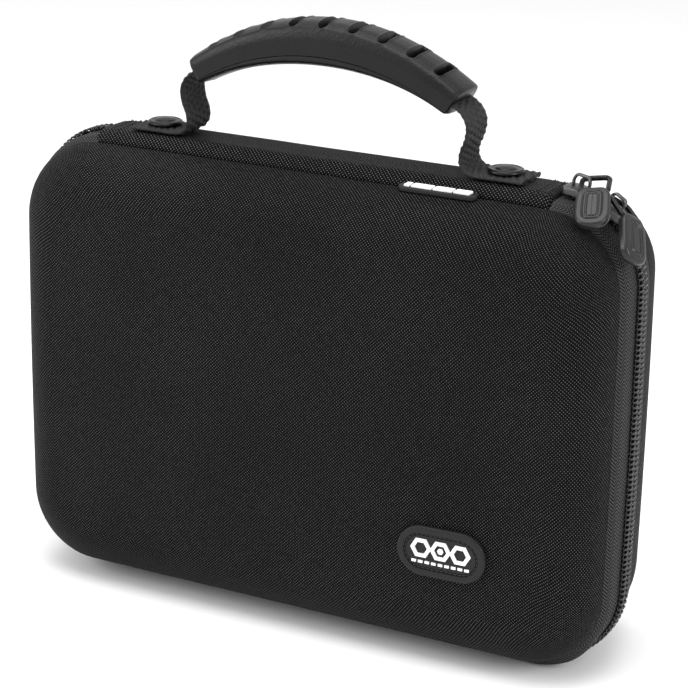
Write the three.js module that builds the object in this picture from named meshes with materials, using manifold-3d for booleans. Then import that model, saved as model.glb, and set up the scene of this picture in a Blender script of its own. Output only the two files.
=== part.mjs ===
// Hard-shelled zip-around carry case with a moulded handle and a foam tray for miniatures.
// Millimetres. +X is the case's width to the right, +Y runs from its front face to its back, +Z is up.
// The case stands on its long narrow side. The sub-parts are drawn about the case's own middle
// plane; the whole is then set back so that the origin is under the middle of its overall size.

import * as THREE from "three";
import { mergeVertices } from "three/addons/utils/BufferGeometryUtils.js";
import Module from "manifold-3d";

const wasm = await Module();
wasm.setup();

// ---------------------------------------------------------------- driving dimensions

const CASE_WIDTH = 260;
const CASE_HEIGHT = 184; // of the shells' sewn edge, without spine and handle
const SEAM_BOTTOM = 5; // the sewn edge stands this far above the ground, on the zip band
const CORNER_RADIUS = 30;
const CORNER_TIGHTENING = 0.62; // how much the corners tighten for each millimetre of inset
const CORNER_LEAST = 6;
const SIDE_BOW = 0.9; // the sides and the top are this much fuller in their middle
const BAND_HALF = 13.6; // half the distance between the two sewn edges
const FRONT_DEPTH = 22;
const BACK_DEPTH = 35;
const FRONT_DOME = 3;
const BACK_DOME = 2;
const EDGE_INSET = 20.7; // how far the rounded edge brings the face in from the sewn edge
const DRAFT = 0.02;
const SHELL_WALL = 4;
const LINING_WALL = 0.8;
const GAP = 0.3; // between neighbouring pieces
const WELD = 1e-4; // points nearer than this are one point

const TAPE_THICK = 1;
const TAPE_PROUD = 2.1; // the tape stands this far outside the sewn edge
const COIL_PROUD = 4.9; // the coil's outer side, likewise
const COIL_HEIGHT = 3.1; // of the coil and its gap above the tape, on the resting run
const COIL_HALF_WIDTH = 3.75;
const COIL_SPLIT = 0.45; // from the middle of the chain to each half

const SPINE_HALF_LENGTH = 99;
const SPINE_TOP = 194.6;
const SPINE_THICK = 2.6;
const SPINE_UNDER = 0.93; // width of the spine's underside, as a share of its top
const PLATE_HALF_LENGTH = 94;
const PLATE_HALF_WIDTH = 9.5;
const PLATE_BASE_Z = 188.9;
const PLATE_THICK = 1.6;
const PLATE_HOLE_RADIUS = 3.4;
const RIVET_X = 76;
const RIVET_CAP_RADIUS = 7.3;
const RIVET_HOLE_RADIUS = 2.9; // through the spine and the webbing

const WEBBING_WIDTH = 19;
const WEBBING_THICK = 2;
const FOOT_INNER_X = 64.8;
const FOOT_OUTER_X = 89;

const GRIP_ARC_RADIUS = 107;
const GRIP_ARC_CENTRE_Z = 131.6;
const GRIP_HALF_ANGLE = THREE.MathUtils.degToRad(32);
const GRIP_PARTING = -3.6; // height of the parting line in the grip's section
const GRIP_SLOTS = 9;
const GRIP_SLOT_PITCH = THREE.MathUtils.degToRad(6.45);
const GRIP_SLOT_LENGTH = 15.5; // of the middle slot; the others are shorter towards the ends
const GRIP_SLOT_WIDTH = 3.2;
const CHANNEL_HALF_WIDTH = 9.9;
const CHANNEL_TOP = 3.4;

const SLIDER_1_ANGLE = THREE.MathUtils.degToRad(79.5);
const SLIDER_2_ANGLE = THREE.MathUtils.degToRad(56.5);

const TRAY_COLUMNS = 4;
const TRAY_ROWS = 2;
const TRAY_FRONT_Y = -7;
const TRAY_BACK_Y = 38;
const FOAM_INSET = 8.4; // from the sewn edge, clear of the linings and bindings
const POCKET_WALL = 9;
const POCKET_DEPTH = 40;
const TRAY_MARGIN_X = 26; // from the case's width to the outermost pockets
const TRAY_MARGIN_Z = 24;
const LID_PAD_DEPTH = 12; // of the lid's pad, behind the sewn edge

const SET_BACK_X = -1.2; // the pull tags stand out on the right
const SET_BACK_Y = -4.7; // the back shell is the deeper one

const SEAM_TOP = SEAM_BOTTOM + CASE_HEIGHT;
const MIDDLE_Z = SEAM_BOTTOM + CASE_HEIGHT / 2;
const ARC_X = CASE_WIDTH / 2 - CORNER_RADIUS;
const ARC_Z = SEAM_TOP - CORNER_RADIUS;

// ---------------------------------------------------------------- materials

function material(color, roughness, metalness = 0) {
  return new THREE.MeshStandardMaterial({ color, roughness, metalness });
}

const FABRIC = () => material(0x1d1d1e, 0.85);
const TAPE = () => material(0x303032, 0.8);
const COIL = () => material(0x2a2a2c, 0.45);
const FOAM = () => material(0x2b2b2d, 0.95);
const GRIP = () => material(0x262627, 0.55);
const WEBBING = () => material(0x18181a, 0.9);
const RUBBER = () => material(0x3c3c3e, 0.5);
const WHITE_RUBBER = () => material(0xf2f2f0, 0.45);
const TAG_RUBBER = () => material(0x5a5a5b, 0.5);
const DARK_METAL = () => material(0x3a3a3c, 0.35, 0.8);
const BOARD = () => material(0x0f0f10, 0.6);

// ---------------------------------------------------------------- solids from rings of points

// Skins a row of rings, each a closed loop of as many points, and closes both ends with a fan;
// with looped set, the last ring joins the first instead.
function loft(rings, looped = false) {
  const count = rings[0].length;
  const points = rings.flat();
  const faces = [];
  const steps = looped ? rings.length : rings.length - 1;
  for (let i = 0; i < steps; i++) {
    const a = i * count;
    const b = ((i + 1) % rings.length) * count;
    for (let j = 0; j < count; j++) {
      const k = (j + 1) % count;
      faces.push(a + j, a + k, b + k);
      faces.push(a + j, b + k, b + j);
    }
  }
  if (!looped) {
    faces.push(...fan(points, 0, count, true));
    faces.push(...fan(points, (rings.length - 1) * count, count, false));
  }
  return outward(geometryOf(points, faces));
}

function fan(points, start, count, reversed) {
  const ring = points.slice(start, start + count);
  const middle = ring.reduce((sum, p) => sum.add(p), new THREE.Vector3()).divideScalar(count);
  const hub = points.push(middle) - 1;
  const faces = [];
  for (let j = 0; j < count; j++) {
    const a = start + j;
    const b = start + ((j + 1) % count);
    faces.push(...(reversed ? [hub, b, a] : [hub, a, b]));
  }
  return faces;
}

function geometryOf(points, faces) {
  const g = new THREE.BufferGeometry().setFromPoints(points);
  g.setIndex(faces);
  return g;
}

// Turns the faces round where they point inwards.
function outward(g) {
  const p = g.getAttribute("position");
  const index = g.getIndex().array;
  const [a, b, c] = [new THREE.Vector3(), new THREE.Vector3(), new THREE.Vector3()];
  let volume = 0;
  for (let i = 0; i < index.length; i += 3) {
    a.fromBufferAttribute(p, index[i]);
    b.fromBufferAttribute(p, index[i + 1]);
    c.fromBufferAttribute(p, index[i + 2]);
    volume += a.dot(b.cross(c));
  }
  if (volume > 0) return g;
  for (let i = 0; i < index.length; i += 3) {
    [index[i + 1], index[i + 2]] = [index[i + 2], index[i + 1]];
  }
  return g;
}

function toSolid(geometry) {
  const plain = new THREE.BufferGeometry().setAttribute("position", geometry.getAttribute("position"));
  plain.setIndex(geometry.getIndex());
  const merged = mergeVertices(plain, WELD);
  return new wasm.Manifold(
    new wasm.Mesh({
      numProp: 3,
      vertProperties: new Float32Array(merged.getAttribute("position").array),
      triVerts: new Uint32Array(merged.getIndex().array),
    }),
  );
}

function toGeometry(solid) {
  const mesh = solid.getMesh();
  const g = new THREE.BufferGeometry();
  g.setAttribute("position", new THREE.BufferAttribute(new Float32Array(mesh.vertProperties), 3));
  g.setIndex(new THREE.BufferAttribute(new Uint32Array(mesh.triVerts), 1));
  return g;
}

function cut(body, ...tools) {
  return toGeometry(tools.reduce((solid, tool) => solid.subtract(toSolid(tool)), toSolid(body)));
}

function join(first, ...others) {
  return toGeometry(others.reduce((solid, other) => solid.add(toSolid(other)), toSolid(first)));
}

// Joins a built-in geometry's doubled points, leaving its shape alone.
function welded(g) {
  g.deleteAttribute("normal");
  g.deleteAttribute("uv");
  return mergeVertices(g, WELD);
}

function box(x0, x1, y0, y1, z0, z1) {
  const g = new THREE.BoxGeometry(x1 - x0, y1 - y0, z1 - z0);
  return g.translate((x0 + x1) / 2, (y0 + y1) / 2, (z0 + z1) / 2);
}

// ---------------------------------------------------------------- the case's outline

const CORNER_STEPS = 6;
const SIDE_POINTS = 3;

// Points round the case's rounded rectangle, brought in by inset, as [x, z] pairs counted
// anticlockwise from the right-hand end of the top right corner.
function outline(inset, corner = Math.max(CORNER_RADIUS - CORNER_TIGHTENING * inset, CORNER_LEAST)) {
  const halfW = CASE_WIDTH / 2 - inset;
  const halfH = CASE_HEIGHT / 2 - inset;
  const corners = [
    [halfW - corner, halfH - corner],
    [corner - halfW, halfH - corner],
    [corner - halfW, corner - halfH],
    [halfW - corner, corner - halfH],
  ];
  const points = [];
  corners.forEach(([x, z], i) => {
    for (let k = 0; k <= CORNER_STEPS; k++) {
      const a = (Math.PI / 2) * (i + k / CORNER_STEPS);
      points.push([x + corner * Math.cos(a), z + corner * Math.sin(a)]);
    }
    const [x0, z0] = points.at(-1);
    const [nx, nz] = corners[(i + 1) % 4];
    const next = (Math.PI / 2) * (i + 1);
    const x1 = nx + corner * Math.cos(next);
    const z1 = nz + corner * Math.sin(next);
    for (let k = 1; k <= SIDE_POINTS; k++) {
      const t = k / (SIDE_POINTS + 1);
      points.push([x0 + (x1 - x0) * t, z0 + (z1 - z0) * t]);
    }
  });
  return points.map(([x, z]) => bowed(x, z, halfW, halfH));
}

function bowed(x, z, halfW, halfH) {
  const u = x / halfW;
  const v = z / halfH;
  const side = SIDE_BOW * u * u * (1 - v * v) * Math.sign(u);
  const top = v > 0 ? SIDE_BOW * v * v * (1 - u * u) : 0;
  return [x + side, z + top];
}

function ring(points, y, scale = 1) {
  return points.map(([x, z]) => new THREE.Vector3(x * scale, y, z * scale + MIDDLE_Z));
}

// ---------------------------------------------------------------- shells, linings and bindings

const EDGE_STEPS = 6;
const LINING_STEPS = 3;
const DOME_RINGS = [0.75, 0.4];

// The rounded edge from the sewn edge to the face: distance from the sewn edge, and inset there.
// A layer inside the shell starts further in and ends less deep.
function edgeProfile(depth, layer, count) {
  const deep = depth - layer;
  const steps = [];
  for (let k = 0; k <= count; k++) {
    const a = (Math.PI / 2) * (k / count);
    const t = deep * Math.sin(a);
    steps.push([t, layer + (EDGE_INSET - layer * 0.5) * (1 - Math.cos(a)) + DRAFT * t]);
  }
  return steps;
}

// One skin of a shell, from the sewn edge to the middle of its face. side is -1 at the front.
function skin(side, depth, dome, layer, steps) {
  const profile = edgeProfile(depth, layer, steps);
  const rings = profile.map(([t, inset]) => ring(outline(inset), side * (BAND_HALF + t)));
  const [deep, inset] = profile.at(-1);
  for (const scale of DOME_RINGS) {
    rings.push(ring(outline(inset), side * (BAND_HALF + deep + dome * (1 - scale * scale)), scale));
  }
  return rings;
}

function hollow(side, depth, dome, layers, steps) {
  const [outside, inside] = layers.map((layer) => skin(side, depth, dome, layer, steps));
  return loft([...outside.reverse(), ...inside]);
}

function shell(side, depth, dome) {
  return hollow(side, depth, dome, [0, SHELL_WALL], EDGE_STEPS);
}

function lining(side, depth, dome) {
  const outer = SHELL_WALL + GAP;
  return hollow(side, depth, dome, [outer, outer + LINING_WALL], LINING_STEPS);
}

// A flat ribbon that covers the sewn edge on the inside of the shell's mouth.
function binding(side) {
  const [outside, inside] = [SHELL_WALL + 0.1, SHELL_WALL + 1.5];
  const [back, front] = [BAND_HALF - GAP, BAND_HALF - 1.6];
  const section = [
    [back, inside],
    [back, outside],
    [front, outside],
    [front, inside],
  ];
  const rings = section.map(([y, inset]) => ring(outline(inset), side * y));
  return loft(rings, true);
}

// ---------------------------------------------------------------- zip band

const BOTTOM_FULL = SEAM_BOTTOM; // the tape is this full where the case rests on it

// Stations along the zip from the spine's left end round the bottom to its right end, each with
// its point on the sewn edge, its outward direction and how much it is part of the resting run.
function zipStations() {
  const edge = outline(0);
  const perCorner = CORNER_STEPS + 1 + SIDE_POINTS;
  const start = perCorner;
  const stations = [];
  const total = 3 * perCorner + CORNER_STEPS + 1;
  for (let i = 0; i < total; i++) {
    const here = edge[(start + i) % edge.length];
    const before = edge[(start + i - 1 + edge.length) % edge.length];
    const after = edge[(start + i + 1) % edge.length];
    const along = new THREE.Vector2(after[0] - before[0], after[1] - before[1]).normalize();
    stations.push({ x: here[0], z: here[1], nx: along.y, nz: -along.x, rest: resting(here) });
  }
  const first = stations[0];
  const last = stations.at(-1);
  [first.nx, first.nz] = [0, 1];
  [last.nx, last.nz] = [0, 1];
  return stations;
}

// 1 on the straight bottom run, 0 above the bottom corners.
function resting([x, z]) {
  const height = z + CASE_HEIGHT / 2;
  const t = THREE.MathUtils.clamp(1 - height / (CORNER_RADIUS * 0.5), 0, 1);
  return t * t * (3 - 2 * t);
}

const STATIONS = zipStations();

// Sweeps a section along the zip. The section gives [y, distance outside the sewn edge] pairs.
function alongZip(section, from = 0, to = STATIONS.length) {
  const rings = STATIONS.slice(from, to).map((s) =>
    section(s.rest).map(([y, out]) => new THREE.Vector3(s.x + s.nx * out, y, s.z + s.nz * out + MIDDLE_Z)),
  );
  return loft(rings);
}

function tape(side) {
  const edge = BAND_HALF - GAP;
  return alongZip((rest) => {
    const full = THREE.MathUtils.lerp(TAPE_PROUD, BOTTOM_FULL, rest);
    const under = THREE.MathUtils.lerp(TAPE_PROUD, COIL_PROUD - COIL_HEIGHT, rest);
    const section = [
      [edge, 0.4],
      [edge - 1.8, full * 0.78],
      [edge - 4.2, full],
      [COIL_HALF_WIDTH + 0.7, full],
      [COIL_HALF_WIDTH + 0.4, under],
      [COIL_SPLIT, under],
      [COIL_SPLIT, under - TAPE_THICK],
      [edge, 0.4 - TAPE_THICK],
    ];
    return section.map(([y, out]) => [side * y, out]);
  });
}

function coil(side) {
  return alongZip((rest) => {
    const outer = COIL_PROUD - 0.25 * rest;
    const inner = THREE.MathUtils.lerp(TAPE_PROUD, COIL_PROUD - COIL_HEIGHT, rest) + GAP;
    const section = [
      [COIL_SPLIT, inner],
      [COIL_HALF_WIDTH, inner],
      [COIL_HALF_WIDTH, outer - 0.9],
      [COIL_HALF_WIDTH - 0.8, outer],
      [COIL_SPLIT, outer],
    ];
    return section.map(([y, out]) => [side * y, out]);
  });
}

// ---------------------------------------------------------------- spine and what is riveted to it

// The fabric band between the two shells: full in the middle, sewn down along both edges.
function spinePanel() {
  const top = [
    [13.2, -4.0],
    [12.4, -1.9],
    [9.5, -0.5],
    [5, 0],
    [0, 0],
  ];
  const over = [...top, ...top.slice(0, 4).reverse().map(([y, z]) => [-y, z])];
  const under = over.map(([y, z]) => [y * SPINE_UNDER, z - SPINE_THICK]).reverse();
  const section = [...over, ...under];
  const xs = [-1, -0.985, -0.9, 0, 0.9, 0.985, 1];
  const drops = [1.6, 0.5, 0, 0, 0, 0.5, 1.6];
  const rings = xs.map((t, i) =>
    section.map(([y, z]) => new THREE.Vector3(t * SPINE_HALF_LENGTH, y, SPINE_TOP + z - drops[i])),
  );
  return loft(rings);
}

// Stiff board under the spine that spreads the handle's pull.
function backingPlate() {
  const [length, width] = [PLATE_HALF_LENGTH, PLATE_HALF_WIDTH];
  const [z0, z1] = [PLATE_BASE_Z, PLATE_BASE_Z + PLATE_THICK];
  const board = box(-length, length, -width, width, z0, z1);
  const holes = [-1, 1].map((side) => upright(PLATE_HOLE_RADIUS, z0 - 1, z1 + 1, side * RIVET_X));
  return cut(board, ...holes);
}

function upright(radius, z0, z1, x, segments = 20) {
  const cylinder = new THREE.CylinderGeometry(radius, radius, z1 - z0, segments);
  return cylinder.rotateX(Math.PI / 2).translate(x, 0, (z0 + z1) / 2);
}

// Domed cap with a raised rim and a ring, as on a snap rivet.
function rivetCap(side) {
  const z = SPINE_TOP + WEBBING_THICK + 2 * GAP;
  const r = RIVET_CAP_RADIUS;
  const profile = [
    [0, 0],
    [r - 0.4, 0],
    [r, 0.7],
    [r - 0.5, 1.5],
    [r - 1.6, 1.9],
    [r - 2.0, 1.7],
    [r - 3.4, 2.3],
    [0, 2.7],
  ];
  return turned(profile).translate(side * RIVET_X, 0, z);
}

// Shank and inner flange of the rivet: through webbing, spine and backing plate.
function rivetPost(side) {
  const profile = [
    [0, -8.4],
    [6, -8.4],
    [6, -6.8],
    [2.6, -6.4],
    [2.6, 1.9],
    [0, 1.9],
  ];
  return turned(profile).translate(side * RIVET_X, 0, SPINE_TOP + GAP);
}

// Turns a profile of [radius, height] pairs about the vertical.
function turned(profile, segments = 24) {
  const g = new THREE.LatheGeometry(
    profile.map(([r, z]) => new THREE.Vector2(r, z)),
    segments,
  );
  return outward(withoutSlivers(welded(g.rotateX(Math.PI / 2))));
}

// Drops the faces that a merge has folded to a line.
function withoutSlivers(g) {
  const old = g.getIndex().array;
  const kept = [];
  for (let i = 0; i < old.length; i += 3) {
    const [a, b, c] = [old[i], old[i + 1], old[i + 2]];
    if (a !== b && b !== c && a !== c) kept.push(a, b, c);
  }
  g.setIndex(kept);
  return g;
}

function footHole(side) {
  return upright(RIVET_HOLE_RADIUS, SPINE_TOP - 8, SPINE_TOP + 6, side * RIVET_X);
}

// The webbing's end, lying on the spine under its rivet.
function webbingFoot(side) {
  const [z0, z1] = [SPINE_TOP + GAP, SPINE_TOP + GAP + WEBBING_THICK];
  const half = WEBBING_WIDTH / 2;
  const xs = [FOOT_INNER_X, FOOT_OUTER_X].map((x) => side * x);
  const strap = box(Math.min(...xs), Math.max(...xs), -half, half, z0, z1);
  return cut(strap, footHole(side));
}

// ---------------------------------------------------------------- handle

// A point in the grip's frame: angle along the arc, across the case, and height above the arc.
function gripPoint(angle, y, height) {
  const r = GRIP_ARC_RADIUS + height;
  return new THREE.Vector3(r * Math.sin(angle), y, GRIP_ARC_CENTRE_Z + r * Math.cos(angle));
}

// How full the section is: 1 in the middle, less at the ends.
function gripFullness(angle) {
  const t = angle / GRIP_HALF_ANGLE;
  return 0.67 + 0.33 * Math.cos((t * Math.PI) / 2) ** 1.2;
}

const GRIP_STEPS = 14;

function alongGrip(section, reach = 1) {
  const rings = [];
  for (let k = 0; k <= GRIP_STEPS; k++) {
    const angle = GRIP_HALF_ANGLE * reach * ((2 * k) / GRIP_STEPS - 1);
    const f = gripFullness(THREE.MathUtils.clamp(angle, -GRIP_HALF_ANGLE, GRIP_HALF_ANGLE));
    rings.push(section(f).map(([y, h]) => gripPoint(angle, y, h)));
  }
  return loft(rings);
}

function mirrored(half) {
  return [...half, ...half.slice(1).reverse().map(([y, h]) => [-y, h])];
}

// Upper moulding: crowned top, a soft ridge, then flat sides down to the parting line.
function gripUpper() {
  const outside = alongGrip((f) =>
    mirrored([
      [0, 9.7 * f],
      [5, 9.2 * f],
      [8.8, 7.6 * f],
      [10.4, 5.8 * f],
      [11, 1 * f],
      [11, GRIP_PARTING],
    ]),
  );
  return cut(outside, strapChannel(), ...gripSlots());
}

function strapChannel() {
  const beyondEnds = 1.02;
  return alongGrip(
    (f) =>
      mirrored([
        [0, CHANNEL_TOP * f],
        [CHANNEL_HALF_WIDTH, CHANNEL_TOP * f],
        [CHANNEL_HALF_WIDTH, GRIP_PARTING - 1],
      ]),
    beyondEnds,
  );
}

// The slots that run across the top and open into the strap's channel.
function gripSlots() {
  const slots = [];
  for (let k = 0; k < GRIP_SLOTS; k++) {
    const place = k - (GRIP_SLOTS - 1) / 2;
    const length = GRIP_SLOT_LENGTH - 0.55 * Math.abs(place) ** 1.4;
    const angle = place * GRIP_SLOT_PITCH;
    slots.push(slot(length, GRIP_SLOT_WIDTH).rotateY(angle).translate(...gripPoint(angle, 0, 0)));
  }
  return slots;
}

function slot(length, width) {
  const r = width / 2;
  const straight = length / 2 - r;
  const shape = new THREE.Shape();
  shape.absarc(0, straight, r, 0, Math.PI, false);
  shape.absarc(0, -straight, r, Math.PI, 2 * Math.PI, false);
  return welded(new THREE.ExtrudeGeometry(shape, { depth: 14, bevelEnabled: false, curveSegments: 3 }));
}

function gripLower() {
  return alongGrip((f) =>
    mirrored([
      [0, GRIP_PARTING - GAP],
      [11, GRIP_PARTING - GAP],
      [10.4, -5.6 * f - 0.6],
      [7.6, -7.9 * f],
      [0, -8.6 * f],
    ]),
  );
}

// The strap: through the grip, out of both ends and down to the bend above each foot.
function handleStrap() {
  const half = WEBBING_WIDTH / 2;
  const leg = [
    [60.2, 219.6, half],
    [62.2, 215.4, half],
    [62.3, 210.5, half - 1],
    [61.4, 205.5, 6.4],
    [62.0, 202.6, 3.2],
    [62.6, 200.2, 2.2],
  ];
  const path = [];
  for (const [x, z, w] of [...leg].reverse()) path.push({ x: -x, z, w });
  for (let k = -4; k <= 4; k++) {
    const p = gripPoint((GRIP_HALF_ANGLE * 0.98 * k) / 4, 0, 0);
    path.push({ x: p.x, z: p.z, w: half - 0.2 });
  }
  for (const [x, z, w] of leg) path.push({ x, z, w });
  return loft(path.map((p, i) => strapSection(path, i)));
}

function strapSection(path, i) {
  const a = path[Math.max(i - 1, 0)];
  const b = path[Math.min(i + 1, path.length - 1)];
  const along = new THREE.Vector2(b.x - a.x, b.z - a.z).normalize();
  const { x, z, w } = path[i];
  const t = WEBBING_THICK / 2;
  return [
    [-w, -t],
    [w, -t],
    [w, t],
    [-w, t],
  ].map(([y, h]) => new THREE.Vector3(x - along.y * h, y, z + along.x * h));
}

// ---------------------------------------------------------------- badges

function stadium(length, height) {
  const r = height / 2;
  const straight = length / 2 - r;
  const shape = new THREE.Shape();
  shape.absarc(straight, 0, r, -Math.PI / 2, Math.PI / 2, false);
  shape.absarc(-straight, 0, r, Math.PI / 2, (3 * Math.PI) / 2, false);
  return shape;
}

function plate(shape, thickness, bevel = 0.3) {
  const g = new THREE.ExtrudeGeometry(shape, {
    depth: thickness - 2 * bevel,
    bevelThickness: bevel,
    bevelSize: bevel,
    bevelOffset: -bevel,
    bevelSegments: 1,
    curveSegments: 8,
  });
  return welded(g).translate(0, 0, bevel);
}

const BADGE_X = 71.8;
const BADGE_Z = 52.3;
const BADGE_LENGTH = 37.4;
const BADGE_HEIGHT = 21;
const BADGE_THICK = 1.8;
const BADGE_Y = -(BAND_HALF + FRONT_DEPTH + 2);
const BADGE_LEAN = 0.02; // the domed face falls away downwards and to the side
const MARK_RADIUS = 6.6;
const MARK_HOLE = 3.2;
const MARK_THICK = 1;
const MARK_BEVEL = 0.2;

// Sets a plate on the domed front face, facing forward, lift millimetres off the badge's back.
function onFront(g, lift) {
  return g
    .translate(0, 0, lift)
    .rotateX(Math.PI / 2 + BADGE_LEAN)
    .rotateZ(BADGE_LEAN + 0.005)
    .translate(BADGE_X, BADGE_Y, BADGE_Z);
}

const TOP_BADGE_X = 55.5;
const TOP_BADGE_Y = -17;
const TOP_BADGE_LENGTH = 33;
const TOP_BADGE_WIDTH = 5.4;
const TOP_BADGE_THICK = 1.6;
const TOP_BADGE_TILT = 0.14;
const TOP_MARK_THICK = 0.8;

// Sets a plate on the front shell's top edge, just in front of the spine.
function onTop(g, lift) {
  return g
    .translate(0, 0, lift)
    .rotateX(TOP_BADGE_TILT)
    .translate(TOP_BADGE_X, TOP_BADGE_Y, SEAM_TOP + 0.8);
}

function lozenge(length, height) {
  const point = height / 2;
  return new THREE.Shape([
    new THREE.Vector2(-length / 2, 0),
    new THREE.Vector2(point - length / 2, -point),
    new THREE.Vector2(length / 2 - point, -point),
    new THREE.Vector2(length / 2, 0),
    new THREE.Vector2(length / 2 - point, point),
    new THREE.Vector2(point - length / 2, point),
  ]);
}

// Six-sided tile with a hexagonal hole: a plain mark with no lettering.
function hexMark(radius, hole) {
  const shape = new THREE.Shape(hexagon(radius));
  shape.holes.push(new THREE.Path(hexagon(hole)));
  return shape;
}

function hexagon(radius) {
  const points = [];
  for (let k = 0; k < 6; k++) {
    const a = (Math.PI / 3) * k;
    points.push(new THREE.Vector2(radius * Math.cos(a), radius * Math.sin(a)));
  }
  return points;
}

// ---------------------------------------------------------------- sliders, bails and tags

function onArc(angle, radius, y = 0) {
  return new THREE.Vector3(ARC_X + radius * Math.cos(angle), y, ARC_Z + radius * Math.sin(angle));
}

const SLIDER_SPAN = THREE.MathUtils.degToRad(9.5);
const SLIDER_INNER = CORNER_RADIUS + COIL_PROUD + 0.6;
const SLIDER_OUTER = SLIDER_INNER + 1.5;
const CROWN_TOP = SLIDER_OUTER + 5.3;
const CROWN_WALL = 1.2;
const CROWN_SPAN = THREE.MathUtils.degToRad(5.3);
const CROWN_HOLE_SPAN = THREE.MathUtils.degToRad(4.0);
const LOWER_PLATE = CORNER_RADIUS - 1;

// Top plate over both halves of the coil, a thin blade between them down to a lower plate behind
// the front tape, and the crown, an arch along the zip, that holds the ring.
function slider(angle) {
  const bladeHalf = COIL_SPLIT - GAP;
  const body = [
    [-5.4, SLIDER_INNER - 1.2],
    [-4.6, SLIDER_INNER - 1.2],
    [-4.6, SLIDER_INNER],
    [-bladeHalf, SLIDER_INNER],
    [-bladeHalf, LOWER_PLATE + 1],
    [-4.4, LOWER_PLATE + 1],
    [-4.4, LOWER_PLATE],
    [bladeHalf, LOWER_PLATE],
    [bladeHalf, SLIDER_INNER],
    [4.4, SLIDER_INNER],
    [5.2, SLIDER_INNER + 0.4],
    [4.6, SLIDER_OUTER],
    [-4.8, SLIDER_OUTER],
    [-5.4, SLIDER_OUTER - 0.6],
  ];
  const arch = [
    [-1.1, SLIDER_OUTER - 0.3],
    [1.1, SLIDER_OUTER - 0.3],
    [1.1, CROWN_TOP],
    [-1.1, CROWN_TOP],
  ];
  const hole = [
    [-2, SLIDER_OUTER + 0.5],
    [2, SLIDER_OUTER + 0.5],
    [2, CROWN_TOP - CROWN_WALL],
    [-2, CROWN_TOP - CROWN_WALL],
  ];
  const plates = arcExtruded(body, angle, SLIDER_SPAN, 6);
  const crown = arcExtruded(arch, angle, CROWN_SPAN, 4);
  return cut(join(plates, crown), arcExtruded(hole, angle, CROWN_HOLE_SPAN, 4));
}

// Bends a flat section, which need not be convex, round the corner's arc.
function arcExtruded(section, angle, halfSpan, steps) {
  const shape = new THREE.Shape(section.map(([y, r]) => new THREE.Vector2(y, r)));
  const g = new THREE.ExtrudeGeometry(shape, { depth: 2, steps, bevelEnabled: false });
  const bent = welded(g);
  const p = bent.getAttribute("position");
  for (let i = 0; i < p.count; i++) {
    const a = angle + halfSpan * (p.getZ(i) - 1);
    const at = onArc(a, p.getY(i), p.getX(i));
    p.setXYZ(i, at.x, at.y, at.z);
  }
  return outward(bent);
}

const WIRE = 0.9; // the bail's wire radius
const BAIL_WIDE = 10.4;
const BAIL_LONG = 11.4;
const BAIL_BACK_CORNER = 2.4;
const TAG_WIDE = 13.2;
const TAG_LONG = 18;
const TAG_THICK = 3.2;
const TAG_TOP = -1.7; // below the middle of the bar it hangs on
const TAG_BARREL = 6;
const EYE_RADIUS = WIRE + 0.35;
const BAIL_CORNER = 1.8; // at its front bar
const TAG_CORNER = 5.2;
const TAG_CHAMFER = 2.2;

// The frame of one puller: the crown point and where the ring is held there, in the ring's own
// coordinates; the ring's direction from there to its bar, the direction across it and the
// direction in which the tag hangs.
function puller(angle, radius, hold, forward, across, hang) {
  const crown = onArc(angle, radius);
  const ahead = forward.clone().normalize();
  const side = across.clone().addScaledVector(ahead, -across.dot(ahead)).normalize();
  const down = hang.clone().addScaledVector(side, -hang.dot(side)).normalize();
  return { angle, crown, hold, ahead, side, down };
}

// The upper ring lies on its side, with its left-hand wire through the crown; the corner ring
// hangs by the middle of its back.
const PULLER_1 = puller(
  SLIDER_1_ANGLE,
  (SLIDER_OUTER + 0.5 + CROWN_TOP - CROWN_WALL) / 2,
  [0, 2.4],
  new THREE.Vector3(0.28, -0.93, -0.22),
  new THREE.Vector3(0.955, 0.27, 0.12),
  new THREE.Vector3(0.27, -0.82, -0.51),
);
const PULLER_2 = puller(
  SLIDER_2_ANGLE,
  CROWN_TOP - CROWN_WALL - WIRE - 0.6,
  [BAIL_WIDE / 2, 0],
  new THREE.Vector3(0.72, -0.58, -0.4),
  new THREE.Vector3(0.3, 0.83, -0.44),
  new THREE.Vector3(0.31, -0.6, -0.73),
);

// A point of the ring's plane: across the ring from its left-hand wire, and ahead of its back.
function onBail(p, across, ahead) {
  const [u, v] = [across - p.hold[0], ahead - p.hold[1]];
  return p.crown.clone().addScaledVector(p.side, u).addScaledVector(p.ahead, v);
}

// Closed ring of round wire with rounded corners.
function bail(p) {
  const steps = 3;
  const [front, back] = [BAIL_CORNER, BAIL_BACK_CORNER];
  const centres = [
    [BAIL_WIDE - front, BAIL_LONG - front, front],
    [front, BAIL_LONG - front, front],
    [back, back, back],
    [BAIL_WIDE - back, back, back],
  ];
  const normal = p.side.clone().cross(p.ahead);
  const rings = [];
  for (const [quarter, [u, v, corner]] of centres.entries()) {
    for (let k = 0; k <= steps; k++) {
      const a = (Math.PI / 2) * (quarter + k / steps);
      const centre = onBail(p, u + corner * Math.cos(a), v + corner * Math.sin(a));
      const outwards = p.side.clone().multiplyScalar(Math.cos(a)).addScaledVector(p.ahead, Math.sin(a));
      rings.push(wireSection(centre, outwards, normal));
    }
  }
  return loft(rings, true);
}

function wireSection(centre, u, v) {
  const sides = 8;
  const points = [];
  for (let k = 0; k < sides; k++) {
    const a = (2 * Math.PI * k) / sides;
    points.push(
      centre
        .clone()
        .addScaledVector(u, WIRE * Math.cos(a))
        .addScaledVector(v, WIRE * Math.sin(a)),
    );
  }
  return points;
}

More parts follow.
